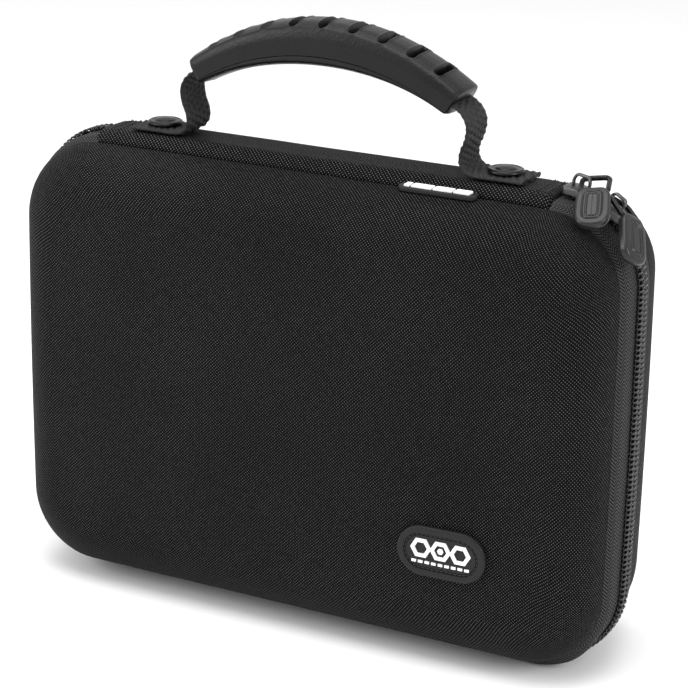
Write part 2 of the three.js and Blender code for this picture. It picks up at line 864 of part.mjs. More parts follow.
// Rubber tag: a rounded plate under a barrel that turns on the ring's front bar.
function tag(p) {
  const half = TAG_WIDE / 2;
  const r = TAG_CORNER;
  const shape = new THREE.Shape();
  shape.moveTo(-half, TAG_TOP - TAG_CHAMFER);
  shape.lineTo(TAG_CHAMFER - half, TAG_TOP);
  shape.lineTo(half - TAG_CHAMFER, TAG_TOP);
  shape.lineTo(half, TAG_TOP - TAG_CHAMFER);
  shape.absarc(half - r, r - TAG_LONG, r, 0, -Math.PI / 2, true);
  shape.absarc(r - half, r - TAG_LONG, r, -Math.PI / 2, -Math.PI, true);
  const body = plate(shape, TAG_THICK, 0.5).translate(0, 0, -TAG_THICK / 2);
  const barrel = crosswise(EYE_RADIUS + 1.05, TAG_BARREL);
  const eye = crosswise(EYE_RADIUS, TAG_WIDE + 4);
  return placed(cut(join(body, barrel), eye), p);
}

function crosswise(radius, length) {
  return new THREE.CylinderGeometry(radius, radius, length, 12).rotateZ(Math.PI / 2);
}

// From the tag's own frame (X across, -Y the way it hangs) to its bar.
function placed(g, p) {
  const up = p.down.clone().negate();
  const face = p.side.clone().cross(up);
  const turn = new THREE.Matrix4().makeBasis(p.side, up, face);
  const bar = onBail(p, BAIL_WIDE / 2, BAIL_LONG);
  return g.applyMatrix4(turn).translate(bar.x, bar.y, bar.z);
}

// ---------------------------------------------------------------- foam inside

// A foam block that follows the shell's inside, through [y, distance inside the sewn edge] pairs.
function foamBlock(...levels) {
  return loft(levels.map(([y, inset]) => ring(outline(inset), y)));
}

function foamTray() {
  const block = foamBlock([TRAY_FRONT_Y, FOAM_INSET], [BAND_HALF + 4, FOAM_INSET], [TRAY_BACK_Y, 16.5]);
  const pockets = [];
  const usableW = CASE_WIDTH - 2 * TRAY_MARGIN_X;
  const usableH = CASE_HEIGHT - 2 * TRAY_MARGIN_Z;
  const w = (usableW - (TRAY_COLUMNS - 1) * POCKET_WALL) / TRAY_COLUMNS;
  const h = (usableH - (TRAY_ROWS - 1) * POCKET_WALL) / TRAY_ROWS;
  for (let column = 0; column < TRAY_COLUMNS; column++) {
    for (let row = 0; row < TRAY_ROWS; row++) {
      const x = -usableW / 2 + column * (w + POCKET_WALL);
      const z = MIDDLE_Z - usableH / 2 + row * (h + POCKET_WALL);
      pockets.push(box(x, x + w, TRAY_FRONT_Y - 1, TRAY_FRONT_Y + POCKET_DEPTH, z, z + h));
    }
  }
  return cut(block, ...pockets);
}

// ---------------------------------------------------------------- assembly

const group = new THREE.Group();

function add(parent, name, geometry, look) {
  const mesh = new THREE.Mesh(geometry, look);
  mesh.name = name;
  parent.add(mesh);
}

function addBase() {
  const base = new THREE.Group();
  add(base, "back_shell", shell(1, BACK_DEPTH, BACK_DOME), FABRIC());
  add(base, "back_lining", lining(1, BACK_DEPTH, BACK_DOME), FABRIC());
  add(base, "back_seam_binding", binding(1), TAPE());
  add(base, "back_zip_tape", tape(1), TAPE());
  add(base, "back_zip_coil", coil(1), COIL());
  add(base, "foam_tray", foamTray(), FOAM());
  const padFront = TRAY_BACK_Y + GAP;
  add(base, "foam_base_pad", foamBlock([padFront, 17.5], [TRAY_BACK_Y + 3.2, 21]), FOAM());
  group.add(base);
}

function addSpine() {
  const spine = new THREE.Group();
  const band = cut(spinePanel(), footHole(-1), footHole(1));
  add(spine, "spine_panel", band, FABRIC());
  add(spine, "handle_backing_plate", backingPlate(), BOARD());
  for (const [side, name] of [
    [-1, "left"],
    [1, "right"],
  ]) {
    add(spine, "webbing_foot_" + name, webbingFoot(side), WEBBING());
    add(spine, "rivet_cap_" + name, rivetCap(side), DARK_METAL());
    add(spine, "rivet_post_" + name, rivetPost(side), DARK_METAL());
  }
  group.add(spine);
}

function addHandle() {
  const handle = new THREE.Group();
  add(handle, "grip_upper", gripUpper(), GRIP());
  add(handle, "grip_lower", gripLower(), GRIP());
  add(handle, "handle_strap", handleStrap(), WEBBING());
  group.add(handle);
}

function addLid() {
  const lid = new THREE.Group();
  add(lid, "front_shell", shell(-1, FRONT_DEPTH, FRONT_DOME), FABRIC());
  add(lid, "front_lining", lining(-1, FRONT_DEPTH, FRONT_DOME), FABRIC());
  add(lid, "front_seam_binding", binding(-1), TAPE());
  add(lid, "front_zip_tape", tape(-1), TAPE());
  add(lid, "front_zip_coil", coil(-1), COIL());
  const padBack = -(BAND_HALF + LID_PAD_DEPTH);
  const pad = foamBlock([TRAY_FRONT_Y - 1.5, FOAM_INSET], [padBack + 4, 9.5], [padBack, 14]);
  add(lid, "foam_lid_pad", pad, FOAM());
  add(lid, "front_badge", onFront(plate(stadium(BADGE_LENGTH, BADGE_HEIGHT), BADGE_THICK), 0), RUBBER());
  const mark = plate(hexMark(MARK_RADIUS, MARK_HOLE), MARK_THICK, MARK_BEVEL);
  add(lid, "front_badge_mark", onFront(mark, BADGE_THICK + GAP), WHITE_RUBBER());
  const topBadge = plate(lozenge(TOP_BADGE_LENGTH, TOP_BADGE_WIDTH), TOP_BADGE_THICK);
  add(lid, "top_badge", onTop(topBadge, 0), RUBBER());
  const topMark = plate(lozenge(TOP_BADGE_LENGTH - 5, TOP_BADGE_WIDTH - 2.4), TOP_MARK_THICK, MARK_BEVEL);
  add(lid, "top_badge_mark", onTop(topMark, TOP_BADGE_THICK + GAP), WHITE_RUBBER());
  group.add(lid);
}

function addPullers() {
  for (const [p, name] of [
    [PULLER_1, "upper"],
    [PULLER_2, "corner"],
  ]) {
    const parts = new THREE.Group();
    add(parts, "zip_slider_" + name, slider(p.angle), DARK_METAL());
    add(parts, "pull_ring_" + name, bail(p), DARK_METAL());
    add(parts, "pull_tag_" + name, tag(p), TAG_RUBBER());
    group.add(parts);
  }
}

addBase();
addSpine();
addHandle();
addLid();
addPullers();
group.position.set(SET_BACK_X, SET_BACK_Y, 0);

export default group;
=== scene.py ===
"""Looks of the zip-around carry case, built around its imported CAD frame.

Lengths are written in millimetres in the case's own coordinates, whose middle plane is x = 0 and
whose zip lies in y = 0; mm() turns them into metres in the shared frame.
"""
import math

import bmesh
import bpy
import numpy as np
from mathutils import Matrix, Vector


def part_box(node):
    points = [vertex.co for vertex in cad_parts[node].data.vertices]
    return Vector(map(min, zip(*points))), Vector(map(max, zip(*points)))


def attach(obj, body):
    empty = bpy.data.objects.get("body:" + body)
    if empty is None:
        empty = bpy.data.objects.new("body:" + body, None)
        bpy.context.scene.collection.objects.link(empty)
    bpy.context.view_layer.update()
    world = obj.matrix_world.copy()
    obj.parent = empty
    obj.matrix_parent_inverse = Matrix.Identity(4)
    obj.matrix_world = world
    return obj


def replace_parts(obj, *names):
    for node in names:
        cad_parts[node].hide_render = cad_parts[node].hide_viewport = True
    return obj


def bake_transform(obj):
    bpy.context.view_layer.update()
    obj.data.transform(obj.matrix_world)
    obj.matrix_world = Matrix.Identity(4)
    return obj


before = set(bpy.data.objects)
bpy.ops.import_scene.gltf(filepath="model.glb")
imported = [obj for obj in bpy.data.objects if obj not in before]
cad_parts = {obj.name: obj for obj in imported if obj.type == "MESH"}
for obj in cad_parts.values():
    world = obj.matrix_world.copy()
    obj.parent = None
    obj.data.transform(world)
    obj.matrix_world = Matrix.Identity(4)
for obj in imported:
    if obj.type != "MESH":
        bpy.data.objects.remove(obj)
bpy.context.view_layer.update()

# ------------------------------------------------------------------ the case's own coordinates

shell_low, shell_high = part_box("front_shell")
front_low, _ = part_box("front_zip_tape")
_, back_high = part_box("back_zip_tape")
SHIFT = np.array([(shell_low.x + shell_high.x) / 2, (front_low.y + back_high.y) / 2, 0.0])


def mm(points):
    """Case millimetres to the shared frame's metres."""
    return np.asarray(points, float) * 0.001 + SHIFT


def at(x, y, z):
    return tuple(mm((x, y, z)))


WIDTH = 260.0
HEIGHT = 184.0
BOTTOM = 5.0  # from the floor up to the shells' sewn edge
TOP = BOTTOM + HEIGHT
MIDDLE_Z = BOTTOM + HEIGHT / 2
CORNER = 30.0  # radius of the outline's corners
CORNER_SHRINK = 0.62  # share of an inset that comes off that radius
SMALLEST_CORNER = 6
ARC_X = WIDTH / 2 - CORNER  # centre of the top right corner
ARC_Z = TOP - CORNER
BOW = 0.9  # how far the straight sides bow out
BAND = 13.6  # from the zip's plane to each shell's sewn edge
FRONT_DEPTH = 22.0
BACK_DEPTH = 35.0
FRONT_DOME = 3
BACK_DOME = 2
EDGE_INSET = 20.7  # width of the rounded edge between wall and face
DRAFT = 0.02
SHELL_THICK = 4.0
LINING_IN = SHELL_THICK + 0.3
LINING_THICK = 0.8

# ------------------------------------------------------------------ materials


class Graph:
    """One procedural material, with its nodes written as calls."""

    def __init__(self, name):
        self.mat = bpy.data.materials.new(name)
        self.mat.use_nodes = True
        self.tree = self.mat.node_tree
        self.bsdf = self.tree.nodes["Principled BSDF"]

    def node(self, kind, **settings):
        n = self.tree.nodes.new(kind)
        for key, value in settings.items():
            setattr(n, key, value)
        return n

    def put(self, socket, value):
        if isinstance(value, bpy.types.NodeSocket):
            self.tree.links.new(value, socket)
        else:
            socket.default_value = value

    def math(self, op, *values):
        n = self.node("ShaderNodeMath", operation=op)
        for socket, value in zip(n.inputs, values):
            self.put(socket, value)
        return n.outputs[0]

    def uv(self):
        """The mesh's own millimetre coordinates."""
        parts = self.node("ShaderNodeSeparateXYZ")
        self.put(parts.inputs[0], self.node("ShaderNodeTexCoord").outputs["UV"])
        return parts.outputs[0], parts.outputs[1]

    def place(self):
        """The piece's own coordinates, in metres."""
        return self.node("ShaderNodeTexCoord").outputs["Object"]

    def noise(self, scale, detail, distortion=0.0):
        n = self.node("ShaderNodeTexNoise")
        self.put(n.inputs["Vector"], self.place())
        n.inputs["Scale"].default_value = scale
        n.inputs["Detail"].default_value = detail
        n.inputs["Distortion"].default_value = distortion
        return n.outputs[0]

    def ramp(self, value, low, high, out_low=0.0, out_high=1.0):
        n = self.node("ShaderNodeMapRange")
        for socket, v in zip(n.inputs, (value, low, high, out_low, out_high)):
            self.put(socket, v)
        return n.outputs[0]

    def mix(self, factor, a, b):
        n = self.node("ShaderNodeMix", data_type="RGBA")
        self.put(n.inputs[0], factor)
        n.inputs[6].default_value = (*a, 1)
        n.inputs[7].default_value = (*b, 1)
        return n.outputs[2]

    def bump(self, height, distance):
        n = self.node("ShaderNodeBump")
        self.put(n.inputs["Height"], height)
        n.inputs["Distance"].default_value = distance
        n.inputs["Strength"].default_value = 1.0
        return n.outputs[0]

    def finish(self, colour, roughness, normal=None, **sockets):
        self.put(self.bsdf.inputs["Base Color"], colour)
        self.put(self.bsdf.inputs["Roughness"], roughness)
        if normal is not None:
            self.put(self.bsdf.inputs["Normal"], normal)
        for key, value in sockets.items():
            self.bsdf.inputs[key.replace("_", " ")].default_value = value
        return self.mat


def grey(value):
    return (value, value, value)


def weave_height(g, u, v, pitch):
    """Plain weave: domes of warp on every other crossing, lower domes of weft between."""
    across = g.math("SINE", g.math("MULTIPLY", u, math.pi / pitch))
    along = g.math("SINE", g.math("MULTIPLY", v, math.pi / pitch))
    product = g.math("MULTIPLY", across, along)
    warp = g.math("MAXIMUM", product, 0.0)
    weft = g.math("MULTIPLY", g.math("MAXIMUM", g.math("MULTIPLY", product, -1.0), 0.0), 0.45)
    return g.math("MAXIMUM", warp, weft)


def cloth(name, pitch=0.7, dark=0.0015, light=0.115, rough=0.6):
    """Ballistic weave: bright yarn crowns in a checker on a nearly black ground; the crowns' brightness is a
    painted highlight, and the near-black ground is partly painted shade between the yarns.
    """
    g = Graph(name)
    u, v = g.uv()
    wobble = g.math("MULTIPLY", g.math("SUBTRACT", g.noise(40, 2), 0.5), 0.5)
    height = weave_height(g, g.math("ADD", u, wobble), g.math("SUBTRACT", v, wobble), pitch)
    patches = g.ramp(g.noise(16, 4), 0.3, 0.7, 0.75, 1.15)
    yarns = g.ramp(g.noise(650, 1), 0.25, 0.7, 0.55, 1.25)
    # thread is the mask of painted highlight on the yarn crowns, varied by random tone patches and yarns
    thread = g.math("MULTIPLY", g.ramp(height, 0.45, 1.0), g.math("MULTIPLY", patches, yarns))
    fluff = g.math("MULTIPLY", g.noise(1500, 2), 0.35)
    bump = g.bump(g.math("ADD", height, fluff), 0.00022)
    return g.finish(g.mix(thread, grey(dark), grey(light)), rough, bump, Specular_IOR_Level=0.05)


def tape_cloth(name):
    """Herringbone ribbon: columns of slanted stripes that meet in chevrons, lighter on their raised ridges as
    painted highlight.
    """
    g = Graph(name)
    u, v = g.uv()
    column = 2.3
    stripe_pitch = 1.5
    yarn_pitch = 0.5
    zigzag = g.math("PINGPONG", v, column)
    stripes = g.math("SINE", g.math("MULTIPLY", g.math("ADD", u, zigzag), 2 * math.pi / stripe_pitch))
    ridge = g.math("SINE", g.math("MULTIPLY", g.math("SUBTRACT", u, zigzag), 2 * math.pi / yarn_pitch))
    height = g.ramp(g.math("ADD", stripes, g.math("MULTIPLY", ridge, 0.3)), -1.0, 1.1)
    fluff = g.math("MULTIPLY", g.noise(1300, 2), 0.3)
    bump = g.bump(g.math("ADD", height, fluff), 0.00025)
    # colour follows the relief: painted highlight on the raised stripes over a near-black ground
    return g.finish(g.mix(height, grey(0.003), grey(0.068)), 0.6, bump, Specular_IOR_Level=0.06)


def webbing_cloth(name):
    """Heavy polypropylene webbing; its cords are geometry, its yarns are here, lighter on their raised yarns
    as painted highlight.
    """
    g = Graph(name)
    u, v = g.uv()
    yarn_pitch = 0.62
    slant = g.math("ADD", u, g.math("MULTIPLY", v, 1.6))
    yarn = g.math("SINE", g.math("MULTIPLY", slant, 2 * math.pi / yarn_pitch))
    height = g.ramp(g.math("ADD", yarn, g.noise(700, 3)), -0.6, 1.7)
    # painted highlight: the colour lightens where the yarns stand up
    colour = g.mix(height, grey(0.002), grey(0.055))
    return g.finish(colour, g.ramp(height, 0, 1, 0.7, 0.4), g.bump(height, 0.00018), Specular_IOR_Level=0.15)


def moulded(name, value, rough, grain=900, depth=0.00006, spread=0.12, shine=0.35):
    """Moulded plastic or rubber with a spark-eroded grain and slight handling marks."""
    g = Graph(name)
    fine = g.noise(grain, 4)
    broad = g.noise(45, 5)
    colour = g.mix(g.ramp(broad, 0.3, 0.7), grey(value * 0.9), grey(value * 1.12))
    handled = g.ramp(broad, 0.3, 0.7, rough - spread / 2, rough + spread / 2)
    roughness = g.math("ADD", handled, g.ramp(fine, 0.2, 0.8, -0.04, 0.06))
    return g.finish(colour, roughness, g.bump(fine, depth), Specular_IOR_Level=shine)


def metal(name, value, rough):
    """Plated zinc or wire, brushed a little and marked where it is handled."""
    g = Graph(name)
    brushed = g.noise(320, 6, distortion=0.4)
    marks = g.ramp(g.noise(1400, 2), 0.55, 0.75)
    roughness = g.ramp(brushed, 0.3, 0.7, rough, rough + 0.18)
    colour = g.mix(marks, grey(value), grey(value * 1.5))
    return g.finish(colour, roughness, g.bump(brushed, 0.00003), Metallic=0.9)


def foam(name, value):
    """Open-cell foam: fine pores with a few larger ones, darkened in their hollows as painted shade."""
    g = Graph(name)
    cells = g.node("ShaderNodeTexVoronoi")
    g.put(cells.inputs["Vector"], g.place())
    cells.inputs["Scale"].default_value = 900
    height = g.math("ADD", cells.outputs["Distance"], g.math("MULTIPLY", g.noise(420, 3), 0.8))
    # painted shade: the pores' hollows are darker than the cell walls
    painted_pore_shade = g.ramp(height, 0.25, 1.2)
    return g.finish(g.mix(painted_pore_shade, grey(value * 0.45), grey(value * 1.5)), 0.95, g.bump(height, 0.00035))


# The light colours of these weaves are painted highlights on their yarn crowns.
CLOTH = cloth("shell_weave")
SPINE_CLOTH = cloth("spine_weave", pitch=0.8, light=0.15)
LINING = cloth("lining_tricot", pitch=0.45, dark=0.01, light=0.04, rough=0.8)
TAPE = tape_cloth("zip_herringbone")
COIL = moulded("coil_nylon", 0.012, 0.28, grain=600, depth=0.00002, shine=0.5)
WEBBING = webbing_cloth("webbing_yarn")
GRIP = moulded("grip_grain", 0.004, 0.36, grain=1100, depth=0.00016, shine=0.24)
RUBBER = moulded("badge_rubber_grain", 0.01, 0.42, grain=1300, depth=0.00006, shine=0.22)
TAG_RUBBER = moulded("tag_rubber_grain", 0.014, 0.24, grain=900, depth=0.00002, shine=0.3)
WHITE = moulded("white_rubber_grain", 0.86, 0.45, grain=900, depth=0.00002, spread=0.05)
METAL = metal("gun_metal", 0.02, 0.25)
STEEL = metal("slider_zinc", 0.09, 0.3)
BOARD = moulded("pressed_board", 0.012, 0.6, shine=0.2)
FOAM = foam("foam_cells", 0.03)
THREAD = moulded("sewing_thread", 0.02, 0.6, grain=2500, depth=0.00005)

# ------------------------------------------------------------------ mesh building


def make(name, verts, faces, material, uvs=None, sharp=40.0):
    """An object from case-millimetre vertices, with per-corner UVs in millimetres."""
    mesh = bpy.data.meshes.new(name)
    mesh.from_pydata(mm(verts).tolist(), [], [list(map(int, f)) for f in faces])
    if uvs is not None:
        layer = mesh.uv_layers.new(name="UVMap")
        layer.data.foreach_set("uv", np.asarray(uvs, np.float32).ravel())
    bm = bmesh.new()
    bm.from_mesh(mesh)
    bmesh.ops.recalc_face_normals(bm, faces=bm.faces)
    bm.to_mesh(mesh)
    bm.free()
    mesh.polygons.foreach_set("use_smooth", [True] * len(mesh.polygons))
    mesh.set_sharp_from_angle(angle=math.radians(sharp))
    mesh.materials.append(material)
    obj = bpy.data.objects.new(name, mesh)
    bpy.context.collection.objects.link(obj)
    return obj


def lengths(points, axis, closed):
    """Distance run along one direction of a grid of points, averaged over the other."""
    if closed:
        points = np.concatenate([points, np.take(points, [0], axis)], axis)
    step = np.linalg.norm(np.diff(points, axis=axis), axis=2).mean(axis=1 - axis)
    return np.concatenate([[0], np.cumsum(step)])


def grid_parts(rings, closed=False, caps=True, uv=None):
    """Vertices, faces and corner UVs of closed rings of points, each joined to the next.

    Closed joins the last ring to the first one; otherwise the two end rings are capped.
    """
    rings = np.asarray(rings, float)
    count, size = rings.shape[:2]
    if uv is None:
        gu, gv = np.meshgrid(lengths(rings, 0, closed), lengths(rings, 1, True), indexing="ij")
        uv = np.stack([gu, gv], axis=2)
    faces, corners = [], []
    for i in range(count if closed else count - 1):
        for j in range(size):
            k, m = (i + 1) % count, (j + 1) % size
            faces.append((i * size + j, k * size + j, k * size + m, i * size + m))
            p, q = min(i + 1, uv.shape[0] - 1), min(j + 1, uv.shape[1] - 1)
            corners += [uv[i, j], uv[p, j], uv[p, q], uv[i, q]]
    if caps and not closed:
        for i in (0, count - 1):
            faces.append(tuple(i * size + j for j in range(size)))
            corners += [uv[i, j] for j in range(size)]
    return rings.reshape(-1, 3), faces, corners


def grid(name, rings, material, closed=False, uv=None, sharp=40.0):
    """An object from closed rings of points."""
    verts, faces, corners = grid_parts(rings, closed, uv=uv)
    return make(name, verts, faces, material, corners, sharp)


def gathered(name, parts, material, sharp=40.0):
    """One object from several (vertices, faces, uvs)."""
    verts, faces, uvs, base = [], [], [], 0
    for v, f, c in parts:
        verts.append(v)
        faces += [tuple(k + base for k in face) for face in f]
        uvs += list(c)
        base += len(v)
    return make(name, np.concatenate(verts), faces, material, uvs, sharp)


SPLINE_STEPS = 24


def spline(points, count, closed=False):
    """Catmull-Rom curve through points, sampled evenly by length."""
    p = np.asarray(points, float)
    if closed:
        p = np.concatenate([p[-1:], p, p[:2]])
    else:
        p = np.concatenate([2 * p[:1] - p[1:2], p, 2 * p[-1:] - p[-2:-1]])
    dense = []
    for a, b, c, d in zip(p[:-3], p[1:-2], p[2:-1], p[3:]):
        for t in np.linspace(0, 1, SPLINE_STEPS, endpoint=False):
            dense.append(0.5 * (2 * b + (c - a) * t + (2 * a - 5 * b + 4 * c - d) * t**2
                                + (3 * b - a - 3 * c + d) * t**3))
    if not closed:
        dense.append(p[-2])
    return evenly(np.array(dense), count, closed)


def evenly(path, count, closed=False):
    """A path's points again, at even distances along it."""
    if closed:
        path = np.concatenate([path, path[:1]])
    s = np.concatenate([[0], np.cumsum(np.linalg.norm(np.diff(path, axis=0), axis=1))])
    t = np.linspace(0, s[-1], count, endpoint=not closed)
    return np.stack([np.interp(t, s, path[:, k]) for k in range(path.shape[1])], axis=1)


def unit(v):
    v = np.asarray(v, float)
    return v / np.linalg.norm(v)


def smoothstep(t):
    """An eased step from 0 to 1."""
    t = np.clip(t, 0, 1)
    return t * t * (3 - 2 * t)


def tube_parts(path, radius, sides=8, closed=False, squash=1.0, up=(0, 0, 1)):
    """Round wire along a path of points."""
    path = np.asarray(path, float)
    ahead = np.roll(path, -1, 0) - np.roll(path, 1, 0)
    if not closed:
        ahead[0], ahead[-1] = path[1] - path[0], path[-1] - path[-2]
    ahead /= np.linalg.norm(ahead, axis=1, keepdims=True)
    side = np.cross(ahead, np.asarray(up, float))
    side /= np.linalg.norm(side, axis=1, keepdims=True)
    lift = np.cross(side, ahead)
    a = np.linspace(0, 2 * np.pi, sides, endpoint=False)
    r = np.broadcast_to(radius, (len(path),))[:, None, None]
    ring = side[:, None] * np.cos(a)[None, :, None] + lift[:, None] * np.sin(a)[None, :, None] * squash
    return grid_parts(path[:, None] + r * ring, closed)


def lathe_parts(profile, segments=64):
    """Turned about the vertical, from (radius, height) pairs that start and end on the axis."""
    a = np.linspace(0, 2 * np.pi, segments, endpoint=False)
    p = np.asarray(profile, float)[1:-1]
    rings = np.stack([p[:, :1] * np.cos(a), p[:, :1] * np.sin(a), np.repeat(p[:, 1:], segments, 1)], axis=2)
    verts, faces, corners = grid_parts(rings, caps=False)
    n = len(verts)
    verts = np.concatenate([verts, [[0, 0, profile[0][1]], [0, 0, profile[-1][1]]]])
    last = (len(p) - 1) * segments
    for j in range(segments):
        k = (j + 1) % segments
        faces += [(n, k, j), (n + 1, last + j, last + k)]
        corners += [(0, 0)] * 6
    return verts, faces, corners


def rounded(profile, cut, steps=4):
    """Rounds the inner corners of an open profile of pairs by cutting each back by cut."""
    p = np.asarray(profile, float)
    out = [p[0]]
    for a, b, c in zip(p[:-2], p[1:-1], p[2:]):
        u, w = a - b, c - b
        k = min(cut, np.linalg.norm(u) * 0.49, np.linalg.norm(w) * 0.49)
        s, e = b + u / np.linalg.norm(u) * k, b + w / np.linalg.norm(w) * k
        for t in np.linspace(0, 1, steps + 1):
            out.append((1 - t) ** 2 * s + 2 * t * (1 - t) * b + t * t * e)
    out.append(p[-1])
    return np.array(out)


# ------------------------------------------------------------------ outline and shells

CORNER_STEPS, SIDE_STEPS, TOP_STEPS = 14, 14, 20


def outline(inset):
    """Points round the case's edge, brought in by inset, with their outward directions."""
    corner = max(CORNER - CORNER_SHRINK * inset, SMALLEST_CORNER)
    w, h = WIDTH / 2 - inset, HEIGHT / 2 - inset
    x, z = w - corner, h - corner
    centres = [(x, z), (-x, z), (-x, -z), (x, -z)]
    pts, out = [], []
    for i, (cx, cz) in enumerate(centres):
        for a in np.linspace(i, i + 1, CORNER_STEPS + 1) * np.pi / 2:
            pts.append((cx + corner * np.cos(a), cz + corner * np.sin(a)))
            out.append((np.cos(a), np.sin(a)))
        nx, nz = centres[(i + 1) % 4]
        a = (i + 1) * np.pi / 2
        end = (nx + corner * np.cos(a), nz + corner * np.sin(a))
        steps = TOP_STEPS if i % 2 == 0 else SIDE_STEPS
        start = np.array(pts[-1])
        for t in np.arange(1, steps) / steps:
            pts.append(tuple(start + (np.array(end) - start) * t))
            out.append((np.cos(a), np.sin(a)))
    p = np.array(pts)
    u, v = p[:, 0] / w, p[:, 1] / h
    p[:, 0] += BOW * u * u * (1 - v * v) * np.sign(u)
    p[:, 1] += np.where(v > 0, BOW * v * v * (1 - u * u), 0)
    return p, np.array(out)


def at_depth(points, y):
    """A ring of case points at one depth, from places about the middle of the outline."""
    return np.stack([points[:, 0], np.full(len(points), y), points[:, 1] + MIDDLE_Z], axis=1)


def skin(side, depth, dome, layer, lip):
    """Rings of one skin of a shell, from the sewn edge to the middle of its face, with its weave's
    coordinates: flat on the face, run on over the rounded edge by the length of its profile."""
    deep = depth - layer
    a = np.linspace(0, np.pi / 2, 15)
    t = deep * np.sin(a)
    inset = layer + (EDGE_INSET - layer * 0.5) * (1 - np.cos(a)) + DRAFT * t
    if lip:
        roll = np.array([(0.0, 1.3), (0.25, 0.75), (0.8, 0.3), (1.6, 0.08)])
        t, inset = np.concatenate([roll[:, 0], t[1:]]), np.concatenate([layer + roll[:, 1], inset[1:]])
    edge, out = outline(inset[-1])
    run = np.concatenate([[0], np.cumsum(np.hypot(np.diff(t), np.diff(inset)))])
    rings, coords = [], []
    for ti, ii, si in zip(t, inset, run[-1] - run):
        p, _ = outline(ii)
        rings.append(at_depth(p, side * (BAND + ti)))
        coords.append(edge + out * si)
    for scale in (0.93, 0.85, 0.75, 0.62, 0.48, 0.34, 0.2, 0.08):
        rings.append(at_depth(edge * scale, side * (BAND + deep + dome * (1 - scale * scale))))
        coords.append(edge * scale)
    return rings, coords


def shell(name, side, depth, dome, layers, material, lip=True):
    """A closed wall between two skins, at the depths of its layers under the shell's face."""
    outer, outer_uv = skin(side, depth, dome, layers[0], lip)
    inner, inner_uv = skin(side, depth, dome, layers[1], lip)
    rings = outer[::-1] + inner
    coords = np.array(outer_uv[::-1] + inner_uv)
    coords = np.concatenate([coords, coords[:, :1]], axis=1)
    return grid(name, np.array(rings), material, uv=coords, sharp=60)


def shell_half(half, side, depth, dome, body):
    """One moulded shell and its lining."""
    piece = shell(half + "_shell_cloth", side, depth, dome, (0, SHELL_THICK), CLOTH)
    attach(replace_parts(piece, half + "_shell"), body)
    layers = (LINING_IN, LINING_IN + LINING_THICK)
    piece = shell(half + "_lining_cloth", side, depth, dome, layers, LINING, lip=False)
    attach(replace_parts(piece, half + "_lining"), body)


shell_half("front", -1, FRONT_DEPTH, FRONT_DOME, "lid")
shell_half("back", 1, BACK_DEPTH, BACK_DOME, "base")

# ------------------------------------------------------------------ zip

PITCH = 2.1  # of the coil's turns
TAPE_OUT = 2.1  # how far the tape's outer face stands off the sewn edge
TAPE_UNDER_DROP = 0.3
TAPE_EDGE = BAND - 0.3
COIL_OUT = 3.12
COIL_START = 2.6


def zip_path():
    """Points of the sewn edge along the zip, 1 mm apart, with outward direction and resting share."""
    p, out = outline(0)
    first = CORNER_STEPS + TOP_STEPS
    last = len(p) + CORNER_STEPS
    index = np.arange(first, last + 1) % len(p)
    p, out = p[index], out[index]
    out[0] = out[-1] = (0, 1)
    s = np.concatenate([[0], np.cumsum(np.hypot(*np.diff(p, axis=0).T))])
    t = np.linspace(0, s[-1], int(s[-1]) + 1)
    x, z = np.interp(t, s, p[:, 0]), np.interp(t, s, p[:, 1])
    nx, nz = np.interp(t, s, out[:, 0]), np.interp(t, s, out[:, 1])
    n = np.hypot(nx, nz)
    rest = smoothstep(1 - (z + HEIGHT / 2) / (CORNER * 0.5))
    return t, np.stack([x, z + MIDDLE_Z, nx / n, nz / n, rest], axis=1)


ZIP_S, ZIP = zip_path()


def on_zip(s, y, out):
    """Case points at distances s along the zip; out is measured outside the sewn edge."""
    x, z, nx, nz = (np.interp(s, ZIP_S, ZIP[:, k]) for k in range(4))
    return np.stack([x + nx * out, np.broadcast_to(y, x.shape), z + nz * out], axis=-1)


def tape_top(rest):
    """The tape's outer face, which bulges down to the floor where the case rests."""
    return TAPE_OUT + (BOTTOM - TAPE_OUT) * rest


def tape_under(rest):
    return TAPE_OUT - TAPE_UNDER_DROP * rest


def zip_tape(side, half, body):
    """Herringbone tape from the shell's edge to the coil."""
    s = ZIP_S[::2] if len(ZIP_S) % 2 else np.append(ZIP_S[::2], ZIP_S[-1])
    rings = []
    for si in s:
        rest = float(np.interp(si, ZIP_S, ZIP[:, 4]))
        top, under = tape_top(rest), tape_under(rest)
        section = rounded([(TAPE_EDGE + 1.2, -0.25), (TAPE_EDGE, 0.0), (TAPE_EDGE - 0.3, 0.5),
                           (TAPE_EDGE - 2.0, top * 0.8), (TAPE_EDGE - 4.4, top), (5.0, top), (4.2, under),
                           (0.5, under), (0.5, under - 0.9), (TAPE_EDGE + 1.2, -0.9)], 0.3, 3)
        rings.append([on_zip(np.array([si]), side * y, out)[0] for y, out in section])
    piece = grid(half + "_zip_tape_cloth", rings, TAPE, sharp=50)
    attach(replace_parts(piece, half + "_zip_tape"), body)


